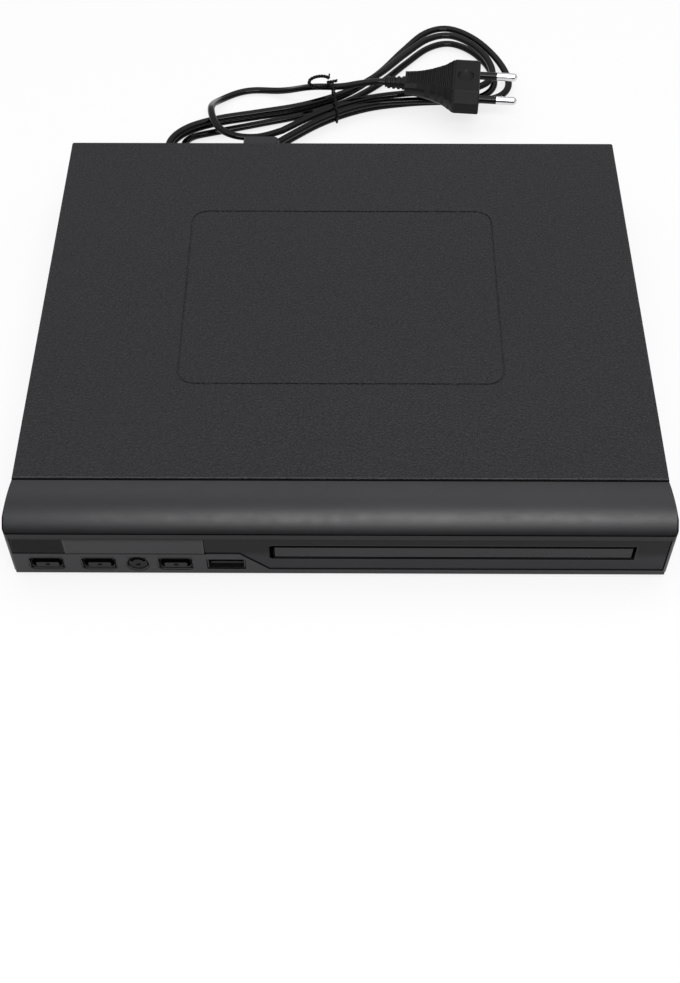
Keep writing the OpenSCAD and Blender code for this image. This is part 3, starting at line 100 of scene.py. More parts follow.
def lathe(bm, profile, at, axis, n=32):
    """Turns a profile of (distance along the axis, radius) round an axis."""
    axis = Vector(axis).normalized()
    side = axis.orthogonal().normalized()
    other = axis.cross(side)
    turn = [2 * pi * i / n for i in range(n)]
    rings = []
    for d, r in profile:
        c = Vector(at) + axis * d
        if r <= 1e-6:
            rings.append([bm.verts.new(c * MM)])
        else:
            rings.append([bm.verts.new((c + (side * cos(a) + other * sin(a)) * r) * MM)
                          for a in turn])
    for a, b in zip(rings, rings[1:]):
        for i in range(n):
            j = (i + 1) % n
            if len(a) == 1 and len(b) == 1:
                continue
            if len(a) == 1:
                bm.faces.new((a[0], b[i], b[j]))
            elif len(b) == 1:
                bm.faces.new((a[i], a[j], b[0]))
            else:
                bm.faces.new((a[i], a[j], b[j], b[i]))


def skin(bm, rings):
    """Faces between closed rings that have the same number of points."""
    for a, b in zip(rings, rings[1:]):
        for i in range(len(a)):
            j = (i + 1) % len(a)
            bm.faces.new((a[i], a[j], b[j], b[i]))


def brick(bm, corners):
    """Six faces on eight corners, where the first direction changes slowest."""
    v = [bm.verts.new(c * MM) for c in corners]
    for f in BOX_FACES:
        bm.faces.new([v[i] for i in f])


def box(bm, lo, hi):
    brick(bm, [Vector((x, y, z))
               for x in (lo[0], hi[0]) for y in (lo[1], hi[1]) for z in (lo[2], hi[2])])


def slab(bm, outline, y, t):
    """Thin plate facing the front, from its outline in x and z."""
    near = [bm.verts.new(Vector((x, y - t, z)) * MM) for x, z in outline]
    far = [bm.verts.new(Vector((x, y, z)) * MM) for x, z in outline]
    bm.faces.new(near)
    bm.faces.new(list(reversed(far)))
    for i in range(len(outline)):
        j = (i + 1) % len(outline)
        bm.faces.new((near[j], near[i], far[i], far[j]))


def sector(x, z, r0, r1, lo, hi, n=24):
    """Outline of part of a flat ring between two angles in degrees."""
    turn = [radians(lo + (hi - lo) * i / n) for i in range(n + 1)]
    return ([(x + r1 * cos(a), z + r1 * sin(a)) for a in turn]
            + [(x + r0 * cos(a), z + r0 * sin(a)) for a in reversed(turn)])


def frame_strip(bm, x, z, w, y, t):
    """Thin flat ring on the front, round a rectangle."""
    for lo, hi in (((x[0] - w, z[0] - w), (x[1] + w, z[0])),
                   ((x[0] - w, z[1]), (x[1] + w, z[1] + w)),
                   ((x[0] - w, z[0]), (x[0], z[1])),
                   ((x[1], z[0]), (x[1] + w, z[1]))):
        box(bm, (lo[0], y - t, lo[1]), (hi[0], y, hi[1]))


def direction(path, i):
    """Direction of a path at one of its points."""
    return (path[min(i + 1, len(path) - 1)] - path[max(i - 1, 0)]).normalized()


def frames(path):
    """Two cross axes at each point of a path, turned as little as can be from one to the next."""
    e = None
    for i in range(len(path)):
        d = direction(path, i)
        e = d.orthogonal().normalized() if e is None else (e - d * e.dot(d)).normalized()
        yield e, d.cross(e)


def sweep(bm, path, r, n=8):
    """Round wire along a path."""
    rings = []
    turn = [k * 2 * pi / n for k in range(n)]
    for p, (e, g) in zip(path, frames(path)):
        rings.append([bm.verts.new((p + (e * cos(a) + g * sin(a)) * r) * MM) for a in turn])
    skin(bm, rings)
    bm.faces.new(rings[0])
    bm.faces.new(rings[-1])


def twist(bm, path, r, off, pitch):
    """Two wires twisted round each other along a path."""
    run = 0.0
    strands = ([], [])
    was = path[0]
    for p, (e, g) in zip(path, frames(path)):
        run += (p - was).length
        was = p
        a = 2 * pi * run / pitch
        for k in (0, 1):
            strands[k].append(p + (e * cos(a + pi * k) + g * sin(a + pi * k)) * off)
    for strand in strands:
        sweep(bm, strand, r)


def bevel(obj, width):
    m = obj.modifiers.new("edges", "BEVEL")
    m.width = width * MM
    m.segments = BEVEL_SEGMENTS
    m.limit_method = "ANGLE"
    m.angle_limit = BEVEL_ANGLE


# ---------------------------------------------------------------- material helpers
def shader(name, base, rough, metallic=0.0, coat=0.0, coat_rough=0.1, spec=None, ior=None):
    mat = bpy.data.materials.new(name)
    mat.use_nodes = True
    nt = mat.node_tree
    b = nt.nodes["Principled BSDF"]
    b.inputs["Base Color"].default_value = (*base, 1)
    b.inputs["Roughness"].default_value = rough
    b.inputs["Metallic"].default_value = metallic
    b.inputs["Coat Weight"].default_value = coat
    b.inputs["Coat Roughness"].default_value = coat_rough
    if spec is not None:
        b.inputs["Specular IOR Level"].default_value = spec
    if ior is not None:
        b.inputs["IOR"].default_value = ior
    return mat, nt, b


def feed(nt, socket, value):
    """Gives a socket what it takes: another socket, a colour or a number."""
    if isinstance(value, bpy.types.NodeSocket):
        nt.links.new(value, socket)
    elif isinstance(value, tuple):
        socket.default_value = (*value, 1)
    else:
        socket.default_value = value


def texco(nt, scale=(1, 1, 1)):
    t = nt.nodes.new("ShaderNodeTexCoord")
    m = nt.nodes.new("ShaderNodeMapping")
    m.inputs["Scale"].default_value = scale
    nt.links.new(t.outputs["Object"], m.inputs["Vector"])
    return m.outputs["Vector"]


def place(nt):
    """The object's own x, y and z, in metres."""
    t = nt.nodes.new("ShaderNodeTexCoord")
    s = nt.nodes.new("ShaderNodeSeparateXYZ")
    nt.links.new(t.outputs["Object"], s.inputs[0])
    return s.outputs


def noise(nt, vec, scale, detail=4.0, rough=0.55):
    n = nt.nodes.new("ShaderNodeTexNoise")
    n.inputs["Scale"].default_value = scale
    n.inputs["Detail"].default_value = detail
    n.inputs["Roughness"].default_value = rough
    nt.links.new(vec, n.inputs["Vector"])
    return n.outputs["Fac"]


def voronoi(nt, vec, scale, smooth=None):
    """Distance to the nearest cell, rounded where smooth is given."""
    n = nt.nodes.new("ShaderNodeTexVoronoi")
    n.inputs["Scale"].default_value = scale
    if smooth is not None:
        n.feature = "SMOOTH_F1"
        n.inputs["Smoothness"].default_value = smooth
    nt.links.new(vec, n.inputs["Vector"])
    return n.outputs["Distance"]


def ramp(nt, fac, stops):
    r = nt.nodes.new("ShaderNodeValToRGB")
    for el, (pos, col) in zip(r.color_ramp.elements, stops):
        el.position = pos
        el.color = (*col, 1)
    nt.links.new(fac, r.inputs["Fac"])
    return r.outputs["Color"]


def remap(nt, fac, lo, hi, a=0.3, b=0.7):
    """Takes the range a to b, where most noise lies, to the range lo to hi."""
    m = nt.nodes.new("ShaderNodeMapRange")
    m.inputs["From Min"].default_value = a
    m.inputs["From Max"].default_value = b
    m.inputs["To Min"].default_value = lo
    m.inputs["To Max"].default_value = hi
    nt.links.new(fac, m.inputs["Value"])
    return m.outputs["Result"]


def combine(nt, how, a, b):
    """One Math node; b is a socket or a number."""
    m = nt.nodes.new("ShaderNodeMath")
    m.operation = how
    nt.links.new(a, m.inputs[0])
    feed(nt, m.inputs[1], b)
    return m.outputs[0]


def scaled(nt, a, k):
    return combine(nt, "MULTIPLY", a, k)


def mix_colours(nt, how, fac, a, b):
    m = nt.nodes.new("ShaderNodeMix")
    m.data_type = "RGBA"
    m.blend_type = how
    feed(nt, m.inputs["Factor"], fac)
    feed(nt, m.inputs["A"], a)
    feed(nt, m.inputs["B"], b)
    return m.outputs["Result"]


def bump(nt, bsdf, height, strength, distance):
    """The distance is in metres."""
    n = nt.nodes.new("ShaderNodeBump")
    n.inputs["Strength"].default_value = strength
    n.inputs["Distance"].default_value = distance
    nt.links.new(height, n.inputs["Height"])
    nt.links.new(n.outputs["Normal"], bsdf.inputs["Normal"])


def shade(c, k):
    return tuple(min(1.0, x * k) for x in c)


def vary_colour(nt, b, fac, base, dark, pale, lo=0.3, hi=0.7):
    """Lets the base colour wander between two shades of itself."""
    stops = [(lo, shade(base, dark)), (hi, shade(base, pale))]
    nt.links.new(ramp(nt, fac, stops), b.inputs["Base Color"])


def span(nt, coord, lo, hi, soft):
    """1 between two places on one axis and 0 outside them."""
    a = remap(nt, coord, 0, 1, (lo - soft) * MM, lo * MM)
    b = remap(nt, coord, 1, 0, hi * MM, (hi + soft) * MM)
    return combine(nt, "MULTIPLY", a, b)


def patch(nt, x, z, soft):
    """Mask of a rectangle on the front, from its ends in x and z."""
    c = place(nt)
    return combine(nt, "MULTIPLY", span(nt, c[0], *x, soft), span(nt, c[2], *z, soft))


def line_round(nt, x, z, w, soft):
    """Mask of a thin line round the outside of a rectangle."""
    outer = patch(nt, (x[0] - w, x[1] + w), (z[0] - w, z[1] + w), soft)
    return combine(nt, "SUBTRACT", outer, patch(nt, x, z, soft))


def tint(nt, b, mask, colour, k=1.0):
    """Lays a colour over the base colour where the mask is."""
    was = b.inputs["Base Color"].links[0].from_socket
    fac = mask if k == 1.0 else scaled(nt, mask, k)
    nt.links.new(mix_colours(nt, "MIX", fac, was, colour), b.inputs["Base Color"])


# Colour of painted shade
SHADE_BLACK = (0.0008, 0.0008, 0.0008)


def darken(nt, b, mask, k=1.0):
    """Painted shade: takes colour and gloss out of the surface where the mask is, for shade in
    joints, hollows and under parts.
    """
    tint(nt, b, mask, SHADE_BLACK, k)
    socket = b.inputs["Specular Tint"]
    rest = nt.nodes.new("ShaderNodeMath")
    rest.operation = "MULTIPLY_ADD"
    rest.inputs[1].default_value = -k
    rest.inputs[2].default_value = 1
    nt.links.new(mask, rest.inputs[0])
    out = rest.outputs[0]
    if socket.links:
        out = combine(nt, "MULTIPLY", out, socket.links[0].from_socket)
    nt.links.new(out, socket)


def parts_of(mat):
    return mat.node_tree, mat.node_tree.nodes["Principled BSDF"]


# ---------------------------------------------------------------- materials
# Places on the front that materials and fittings share, in x and z
BUTTON_Z = 8.2
LONG_BUTTONS = (-113.4, -93.2, -63.6)    # power, left and right
ROUND_BUTTON = -78.2
BUTTON_FACE = -111.55                    # y
SLOT_LINE = ((-25.9, 112.7), (12.0, 19.8))
SHADOW_FRAME = ((-25.8, 112.6), (12.1, 19.7))
DOOR = ((-24.98, 111.78), (12.92, 18.88))
ALL_ACROSS = (-128, 128)
HOOD_FOOT = 24.95                        # z of the hood's lower edge


def plain(name, base, rough, vary=0.12, grain=220, grain_depth=0.00004, strength=0.35,
          rvary=0.06, **kw):
    """Moulded or painted stuff: colour and gloss wander a little, and a fine grain lies over it."""
    mat, nt, b = shader(name, base, rough, **kw)
    v = texco(nt)
    vary_colour(nt, b, noise(nt, v, 28, 3), base, 1 - vary, 1 + vary)
    fine = noise(nt, v, grain * 4, 5, 0.65)
    gloss = remap(nt, noise(nt, v, grain / 2, 4), max(0.02, rough - rvary), min(1, rough + rvary))
    nt.links.new(gloss, b.inputs["Roughness"])
    bump(nt, b, fine, strength, grain_depth)
    return mat


def leather_paint(name, base):
    """Textured coating of the cover: cells about a millimetre across, finer wrinkles between, with
    a painted highlight along its front edge and painted shade on its rounded sides.
    """
    mat, nt, b = shader(name, base, 0.5, spec=0.41)
    v = texco(nt)
    wobble = nt.nodes.new("ShaderNodeTexNoise")
    wobble.inputs["Scale"].default_value = 700
    nt.links.new(v, wobble.inputs["Vector"])
    shift = nt.nodes.new("ShaderNodeVectorMath")
    shift.operation = "SCALE"
    shift.inputs["Scale"].default_value = 0.0008
    nt.links.new(wobble.outputs["Color"], shift.inputs[0])
    warp = nt.nodes.new("ShaderNodeVectorMath")
    warp.operation = "ADD"
    nt.links.new(v, warp.inputs[0])
    nt.links.new(shift.outputs[0], warp.inputs[1])
    cells = voronoi(nt, warp.outputs[0], 1250, 0.35)
    small = voronoi(nt, warp.outputs[0], 2700, 0.3)
    fine = noise(nt, v, 2600, 4, 0.6)
    height = combine(nt, "ADD", scaled(nt, cells, 0.8), scaled(nt, small, 0.35))
    height = combine(nt, "ADD", height, scaled(nt, fine, 0.15))
    tone = ramp(nt, cells, [(0.1, shade(base, 1.2)), (0.75, shade(base, 0.8))])
    wide = ramp(nt, noise(nt, v, 9, 3), [(0.3, (0.82, 0.82, 0.84)), (0.7, (1.0, 1.0, 1.0))])
    nt.links.new(mix_colours(nt, "MULTIPLY", 1, tone, wide), b.inputs["Base Color"])
    nt.links.new(remap(nt, cells, 0.42, 0.58, 0.1, 0.8), b.inputs["Roughness"])
    bump(nt, b, scaled(nt, height, -1.0), 0.95, 0.0006)
    c = place(nt)
    # Painted highlight along the cover's front edge
    cover_edge_highlight = span(nt, c[1], -92.2, -91.75, 0.15)
    tint(nt, b, cover_edge_highlight, (0.075, 0.076, 0.08), 0.8)
    # Painted shade on the cover's rounded side edges
    for lo, hi in ((-126, -124.55), (124.55, 126)):
        across, height = span(nt, c[0], lo, hi, 0.25), span(nt, c[2], 36.2, 38, 0.3)
        darken(nt, b, combine(nt, "MULTIPLY", across, height), 0.85)
    return mat


def satin_hood(name, base):
    """Smooth moulding with a very fine spark-eroded grain that breaks up its highlight; painted
    shade and painted highlights lie over it.
    """
    mat, nt, b = shader(name, base, 0.34, spec=0.37)
    v = texco(nt)
    vary_colour(nt, b, noise(nt, v, 14, 3), base, 0.85, 1.15)
    grain = noise(nt, v, 3200, 3, 0.6)
    nt.links.new(remap(nt, noise(nt, v, 240, 4), 0.31, 0.38), b.inputs["Roughness"])
    bump(nt, b, grain, 0.32, 0.00003)
    # Painted shade: a black line with no gloss under the insert
    insert_seam_shade = patch(nt, (-125.6, -51.4), (14.65, 15.35), 0.12)
    darken(nt, b, insert_seam_shade)
    # Painted shade in the groove along the hood's foot
    darken(nt, b, patch(nt, ALL_ACROSS, (24.5, HOOD_FOOT), 0.12), 0.9)
    # Painted shade on the hood's lower curve
    darken(nt, b, patch(nt, ALL_ACROSS, (HOOD_FOOT, 28.0), 2.6), 0.64)
    # Faint painted shade over the front below the hood
    darken(nt, b, patch(nt, ALL_ACROSS, (1, 24.4), 0.2), 0.1)
    # Painted shade in the joint with the cover
    cover_joint_shade = span(nt, place(nt)[1], -93.0, -90, 0.12)
    darken(nt, b, cover_joint_shade)
    # Painted highlight along the front's right end
    right_end_highlight = patch(nt, (125.9, 126.15), (4, 24.2), 0.15)
    tint(nt, b, right_end_highlight, (0.06, 0.06, 0.063), 0.8)
    # Painted shade above each button's pocket
    shade_over_buttons = [(x, 6.2, 2.6, 0.9) for x in LONG_BUTTONS] + [(ROUND_BUTTON, 3.2, 2.8, 1.0)]
    for x, half, low, soft in shade_over_buttons:
        above = patch(nt, (x - half, x + half), (BUTTON_Z + low, BUTTON_Z + 4.4), soft)
        darken(nt, b, above, 0.5)
    # Painted shade at the hood's two ends
    for lo, hi in ((-128, -126.75), (126.75, 128)):
        c = place(nt)
        end = combine(nt, "MULTIPLY", span(nt, c[0], lo, hi, 0.25), span(nt, c[2], 24, 37, 0.5))
        darken(nt, b, end, 0.9)
    # Painted highlights along the insert's two ends
    for insert_highlight in ((-105.3, -105.05), (-52.25, -52.0)):
        tint(nt, b, patch(nt, insert_highlight, (15.3, 24.2), 0.12), (0.045, 0.045, 0.045), 0.8)
    return mat


def brushed(name, base, rough, axis, metallic=1.0, strength=0.25):
    """Drawn or rolled surface with fine lines along one axis."""
    stretch = [60, 60, 60]
    stretch[axis] = 1.5
    mat, nt, b = shader(name, base, rough, metallic=metallic)
    lines = noise(nt, texco(nt, tuple(stretch)), 22, 5, 0.7)
    vary_colour(nt, b, lines, base, 0.86, 1.1)
    nt.links.new(remap(nt, lines, rough - 0.06, rough + 0.08), b.inputs["Roughness"])
    bump(nt, b, lines, strength, 0.00002)
    return mat


def spangle(name, base, rough):
    """Zinc plate: faint crystal patches and rolling lines."""
    mat, nt, b = shader(name, base, rough, metallic=1.0)
    crystals = voronoi(nt, texco(nt), 140)
    lines = noise(nt, texco(nt, (40, 1.5, 40)), 18, 4)
    tone = combine(nt, "ADD", scaled(nt, crystals, 0.5), scaled(nt, lines, 0.5))
    vary_colour(nt, b, tone, base, 0.82, 1.1, 0.2, 0.6)
    nt.links.new(remap(nt, tone, rough - 0.08, rough + 0.1, 0.2, 0.7), b.inputs["Roughness"])
    bump(nt, b, lines, 0.15, 0.00002)
    return mat


def board(name, base, track):
    """Circuit board: tracks and pads seen under the lacquer."""
    mat, nt, b = shader(name, base, 0.38, coat=0.25, coat_rough=0.2)
    v = texco(nt)
    tracks = nt.nodes.new("ShaderNodeTexBrick")
    tracks.inputs["Scale"].default_value = 180
    tracks.inputs["Mortar Size"].default_value = 0.09
    tracks.inputs["Color1"].default_value = (*base, 1)
    tracks.inputs["Color2"].default_value = (*shade(base, 0.85), 1)
    tracks.inputs["Mortar"].default_value = (*track, 1)
    nt.links.new(v, tracks.inputs["Vector"])
    pads = ramp(nt, voronoi(nt, v, 230), [(0.10, (0.62, 0.6, 0.52)), (0.16, (0, 0, 0))])
    both = mix_colours(nt, "LIGHTEN", 0.6, tracks.outputs["Color"], pads)
    nt.links.new(both, b.inputs["Base Color"])
    bump(nt, b, noise(nt, v, 700, 3), 0.2, 0.00004)
    return mat


def cap(name, x):
    """Button plastic: like the front at its foot, with painted shade above it."""
    mat = plain(name, (0.0105, 0.0108, 0.0122), 0.34, vary=0.10, grain=300, grain_depth=0.00002,
                spec=0.33)
    nt, b = parts_of(mat)
    # Painted shade over the button's upper part
    darken(nt, b, patch(nt, (x - 7, x + 7), (6.0, 12), 0.25), 0.5)
    return mat


def panel_paint(name):
    """Glossy strip of the front: painted shade darkens it towards its top, and a painted black
    shade line and a pale painted highlight line run round the slot.
    """
    mat = plain(name, (0.019, 0.019, 0.0215), 0.2, vary=0.10, grain=160, grain_depth=0.000008,
                strength=0.12, rvary=0.03, spec=0.13)
    nt, b = parts_of(mat)
    # Painted shade under the hood, darker towards the top
    top = remap(nt, place(nt)[2], 0, 1, 0.0125, 0.0165)
    tint(nt, b, top, (0.0025, 0.0025, 0.0027))
    # Painted highlight round the slot
    tint(nt, b, line_round(nt, *SLOT_LINE, 0.75, 0.2), (0.03, 0.03, 0.032), 0.7)
    # Painted shade in the gap round the slot and at its left end
    darken(nt, b, line_round(nt, *SLOT_LINE, 0.45, 0.1))
    darken(nt, b, patch(nt, (-27.1, -25.7), SLOT_LINE[1], 0.15))
    return mat


def door_paint(name):
    """The tray's front: satin black with painted shade round its rim and a painted highlight line
    inside it.
    """
    mat = plain(name, (0.016, 0.016, 0.017), 0.26, vary=0.10, grain=160, grain_depth=0.00001,
                strength=0.15, rvary=0.03, spec=0.21)
    nt, b = parts_of(mat)
    # Painted highlight line inside the rim
    pale = line_round(nt, (-24.7, 111.5), (13.3, 18.7), 0.35, 0.15)
    tint(nt, b, pale, (0.045, 0.045, 0.047), 0.7)
    # Painted shade round the tray's front
    darken(nt, b, line_round(nt, (-25.1, 111.9), (12.8, 19.1), 0.6, 0.1))
    return mat


def window_paint(name):
    """The receiver's window: nearly black gloss with a faint painted highlight round its edge."""
    mat = plain(name, (0.0018, 0.0018, 0.002), 0.14, vary=0.08, grain=120, grain_depth=0.000006,
                strength=0.1, rvary=0.02, spec=0.08)
    nt, b = parts_of(mat)
    # Painted highlight round the window's edge
    edge = line_round(nt, (-124.9, -106.0), (15.8, 23.9), 0.3, 0.15)
    tint(nt, b, edge, (0.03, 0.03, 0.03), 0.6)
    return mat


M = {
    "cover": leather_paint("cover_paint", (0.0125, 0.0128, 0.0142)),
    "hood": satin_hood("hood_plastic", (0.0105, 0.0108, 0.0122)),
    "panel": panel_paint("panel_gloss"),
    "door": door_paint("door_gloss"),
    "window": window_paint("window_gloss"),
    "power_cap": cap("power_cap", LONG_BUTTONS[0]),
    "left_cap": cap("left_cap", LONG_BUTTONS[1]),
    "right_cap": cap("right_cap", LONG_BUTTONS[2]),
    "round_cap": plain("round_cap", (0.004, 0.004, 0.0045), 0.36, vary=0.14, grain=300, spec=0.16),
    "pocket": plain("pocket_shade", (0.0015, 0.0015, 0.0016), 0.7, vary=0.3, grain=260, spec=0.1),
    # Painted shade: black with no gloss, for thin pieces where there is only shadow
    "shadow_paint": plain("shadow_black", (0.0012, 0.0012, 0.0012), 0.9, vary=0.3, grain=400,
                  grain_depth=0.00003, spec=0.0),
    "port": brushed("port_blackened", (0.05, 0.05, 0.052), 0.35, 0, metallic=0.9),
    "black": plain("black_plastic", (0.010, 0.010, 0.011), 0.45, grain=260, spec=0.4),
    "rear": plain("rear_paint", (0.014, 0.014, 0.0155), 0.5, vary=0.16, grain=420,
                  grain_depth=0.00012, strength=0.5),
    "rubber": plain("foot_rubber", (0.014, 0.014, 0.014), 0.78, vary=0.2, grain=180,
                    grain_depth=0.00012, strength=0.5),
    "belt": plain("belt_rubber", (0.02, 0.02, 0.02), 0.7, vary=0.15, grain=240),
    "zinc": spangle("zinc_plate", (0.56, 0.565, 0.57), 0.34),
    "steel": brushed("rolled_steel", (0.6, 0.605, 0.61), 0.28, 1),
    "bright": brushed("bright_plating", (0.78, 0.78, 0.79), 0.12, 1, strength=0.08),
    "dark_screw": brushed("blackened_screw", (0.07, 0.07, 0.075), 0.35, 2, metallic=0.8),
    "green": board("green_board", (0.012, 0.10, 0.035), (0.03, 0.2, 0.06)),
    "tan": board("tan_board", (0.40, 0.25, 0.10), (0.30, 0.17, 0.06)),
    "chip": plain("chip_moulding", (0.018, 0.018, 0.019), 0.42, grain=500, vary=0.1),
    "can": plain("can_sleeve", (0.02, 0.03, 0.09), 0.25, vary=0.08, grain=120, coat=0.3),
    "tape": plain("winding_tape", (0.62, 0.45, 0.05), 0.35, vary=0.14, grain=150, coat=0.2),
    "fuse": plain("fuse_glass", (0.82, 0.83, 0.80), 0.12, vary=0.04, grain=120, coat=0.6),
    "alu": brushed("plain_aluminium", (0.62, 0.625, 0.63), 0.36, 2),
    "yellow": plain("yellow_moulding", (0.80, 0.50, 0.01), 0.3, vary=0.06, grain=200),
    "white": plain("white_moulding", (0.78, 0.78, 0.76), 0.3, vary=0.04, grain=200),
    "red": plain("red_moulding", (0.55, 0.015, 0.012), 0.3, vary=0.06, grain=200),
    "frame": plain("frame_moulding", (0.045, 0.047, 0.05), 0.48, vary=0.14, grain=320),
    "tray": plain("tray_moulding", (0.02, 0.02, 0.0215), 0.42, grain=420, grain_depth=0.00006,
                  strength=0.45),
    "natural": plain("natural_moulding", (0.70, 0.66, 0.56), 0.4, vary=0.05, grain=200),
    "ribbon": brushed("ribbon_cable", (0.66, 0.64, 0.58), 0.4, 1, metallic=0.0, strength=0.6),
    "lens": plain("lens_coating", (0.10, 0.16, 0.34), 0.06, vary=0.2, grain=60, coat=1.0,
                  coat_rough=0.02, ior=1.6),
    "cord": plain("cord_sheath", (0.0013, 0.0013, 0.0014), 0.09, vary=0.25, grain=160,
                  grain_depth=0.00002, strength=0.2, rvary=0.03, spec=0.21),
    "connector": plain("connector_moulding", (0.022, 0.022, 0.025), 0.4, vary=0.15, grain=380,
                       spec=0.3),
    "plug": plain("plug_moulding", (0.0055, 0.0055, 0.006), 0.42, vary=0.2, grain=380,
                  grain_depth=0.00005, strength=0.45, spec=0.2),
    "sleeve": plain("pin_sleeve", (0.002, 0.002, 0.002), 0.16, vary=0.2, grain=200, spec=0.25),
    "tie": plain("tie_strip", (0.002, 0.002, 0.0022), 0.3, vary=0.2, grain=240,
                 grain_depth=0.00003, spec=0.2),
}

# What each CAD node is made of
LOOK = {
    "cover": "top_cover",
    "hood": "front_bezel",
    "panel": "front_panel",
    "door": "tray_door",
    "window": "receiver_window",
    "power_cap": "power_button",
    "left_cap": "left_button",
    "right_cap": "right_button",
    "round_cap": "round_button",
    "rear": "rear_panel",
    "port": "usb_port",
    "black": "power_inlet jack_block turntable",
    "rubber": "rubber_feet turntable_mat",
    "belt": "drive_belt",
    "zinc": "bottom_chassis clamp_bridge traverse_plate",
    "steel": "loading_motor spindle_motor feed_motor board_screws",
    "bright": "inlet_pins jack_barrels guide_rods lead_screw plug_pins",
    "dark_screw": "case_screws",
    "green": "main_board",
    "tan": "power_board key_board",
    "chip": "board_chips tact_switches infrared_receiver",
    "can": "board_capacitors power_capacitors",
    "tape": "transformer",
    "fuse": "fuse",
    "alu": "heat_sink pickup_sled",
    "yellow": "jack_yellow",
    "white": "jack_white",
    "red": "jack_red",
    "frame": "loader_frame",
    "tray": "disc_tray",
    "natural": "motor_pulley pulley_gear tray_gear cam_slider clamper",
    "ribbon": "ribbon_cable",
    "lens": "pickup_lens",
    "cord": "cord_lead cord_hank cord_tail",
    "connector": "cord_connector",
    "plug": "plug_body",
    "tie": "cord_tie",
}


def paint(obj, key):
    obj.data.materials.clear()
    obj.data.materials.append(M[key])
    for p in obj.data.polygons:
        p.material_index = 0


for key, names in LOOK.items():
    for name in names.split():
        paint(nodes[name], key)


# ---------------------------------------------------------------- the mains lead
LEAD_D = 3.6                   # the flat cable's width
LEAD_HALF_T = 1.4
TIE_ROOM = 0.8                 # room for the tie under the hank
STRAIGHT = LEAD_D              # straight stretch at each joint of two courses
HANK_AT = (-4, 171)
HANK_TURN = radians(28)
HANK_TURNS = 2.667
HANK_START = 0.14              # where its first turn starts, in turns
HANK_WAIST, HANK_STEP = 2.4, 4.6       # half its width at the tie, and what each turn adds
HANK_HALF_L, HANK_GROW = 86, HANK_STEP * 1.25    # half its length, and what each turn adds
HANK_BULGE, HANK_SPREAD = 39, 16       # swell of its ends, and what each turn adds
HANK_SKEW = 0.33                       # how much more the plug's end swells than the other
HANK_LAYER = 4.4               # height of its upper layer over the lower one
TURN_STEPS = 24                # points in a turn of the hank
SPAN_STEPS = 6                 # steps between two points of the route
EASING = 24                    # rounds of smoothing

LEAD_POINTS = [(-75, 131.8, 9.4), (-77.4, 135, 7.8), (-78.4, 138.9, 6.2), (-78.1, 143.1, 5),
               (-76.4, 146.9, 4), (-73.6, 149.9, 3.2), (-69.9, 151.8, 2.7)]
TAIL_POINTS = [(-38.2, 143.8, 8.2), (-43, 140.8, 9.8), (-48.6, 139, 11.2), (-54, 139.6, 11.8),
               (-58.8, 142.4, 12), (-62.4, 147, 12), (-64.6, 152.6, 12), (-66, 159.4, 11.4),
               (-66.4, 166.4, 9), (-65.2, 173.2, 5.6), (-62.2, 179, 3), (-57.8, 183.8, 2),
               (-52, 187, 1.9), (-45.4, 188.4, 1.9), (-38, 187.6, 2), (-31, 185.6, 3.4),
               (-24.6, 183, 6.4), (-18.4, 180.6, 9.6), (-12, 178.8, 11.4), (-5, 177.6, 12),
               (2, 177.2, 12.8), (8, 177.3, 14.6)]
RELIEF_TURN, RELIEF_TILT = radians(24), radians(12)
RELIEF_DIR = Vector((-cos(RELIEF_TURN) * cos(RELIEF_TILT), sin(RELIEF_TURN) * cos(RELIEF_TILT),
                     -sin(RELIEF_TILT)))
RELIEF_END = Vector((-47.5, 118.7, 16.8)) + RELIEF_DIR * 22
PLUG_AT = Vector((56.3, 173.4, 16))
PLUG_DIR = Vector((cos(radians(-5)), sin(radians(-5)), 0))
PLUG_SIDE = Vector((-PLUG_DIR.y, PLUG_DIR.x, 0))
PLUG_END = PLUG_AT - PLUG_DIR * 35


def hank_point(t):
    """Place on the figure-of-eight hank after t turns."""
    phi = radians(180 - 360 * (t + HANK_START))
    c, s = cos(phi), sin(phi)
    k = min(t, HANK_TURNS - t)
    u = (HANK_HALF_L + HANK_GROW * k) * c
    v = s * (HANK_WAIST + HANK_STEP * k
             + (HANK_BULGE + HANK_SPREAD * k) * (1 + HANK_SKEW * c) * c * c)
    climb = min(1, max(0, 0.5 + 2 * t - HANK_TURNS))
    return Vector((HANK_AT[0] + u * cos(HANK_TURN) - v * sin(HANK_TURN),
                   HANK_AT[1] + u * sin(HANK_TURN) + v * cos(HANK_TURN),
                   LEAD_D / 2 + TIE_ROOM + HANK_LAYER * climb))


def catmull(points, per):
    """Smooth line through points, with a few steps in each span."""
    p = [2 * points[0] - points[1], *points, 2 * points[-1] - points[-2]]
    out = []
    for i in range(1, len(p) - 2):
        a, b, c, d = p[i - 1:i + 3]
        for j in range(per):
            t = j / per
            out.append(0.5 * (2 * b + (c - a) * t + (2 * a - 5 * b + 4 * c - d) * t * t
                              + (3 * b - a - 3 * c + d) * t ** 3))
    out.append(p[-2])
    return out


def lead_route():
    """The lead from the connector's relief through the hank to the plug; the hank isn't eased."""
    n = round(HANK_TURNS * TURN_STEPS)
    hank = [hank_point(HANK_TURNS * i / n) for i in range(n + 1)]
    d0 = (hank[1] - hank[0]).normalized()
    d1 = (hank[-1] - hank[-2]).normalized()
    lead = [RELIEF_END, RELIEF_END + RELIEF_DIR * STRAIGHT, *map(Vector, LEAD_POINTS),
            hank[0] - d0 * STRAIGHT]
    tail = [hank[-1] + d1 * STRAIGHT, *map(Vector, TAIL_POINTS), PLUG_END - PLUG_DIR * STRAIGHT,
            PLUG_END]
    line = catmull(lead + hank + tail, SPAN_STEPS)
    first, last = SPAN_STEPS * (len(lead) - 1), SPAN_STEPS * (len(lead) + len(hank))
    for _ in range(EASING):
        was = line[:]
        for i in range(1, len(line) - 1):
            if (4 < i < first) or (last < i < len(line) - 8):
                line[i] = was[i] * 0.5 + (was[i - 1] + was[i + 1]) * 0.25
    return line


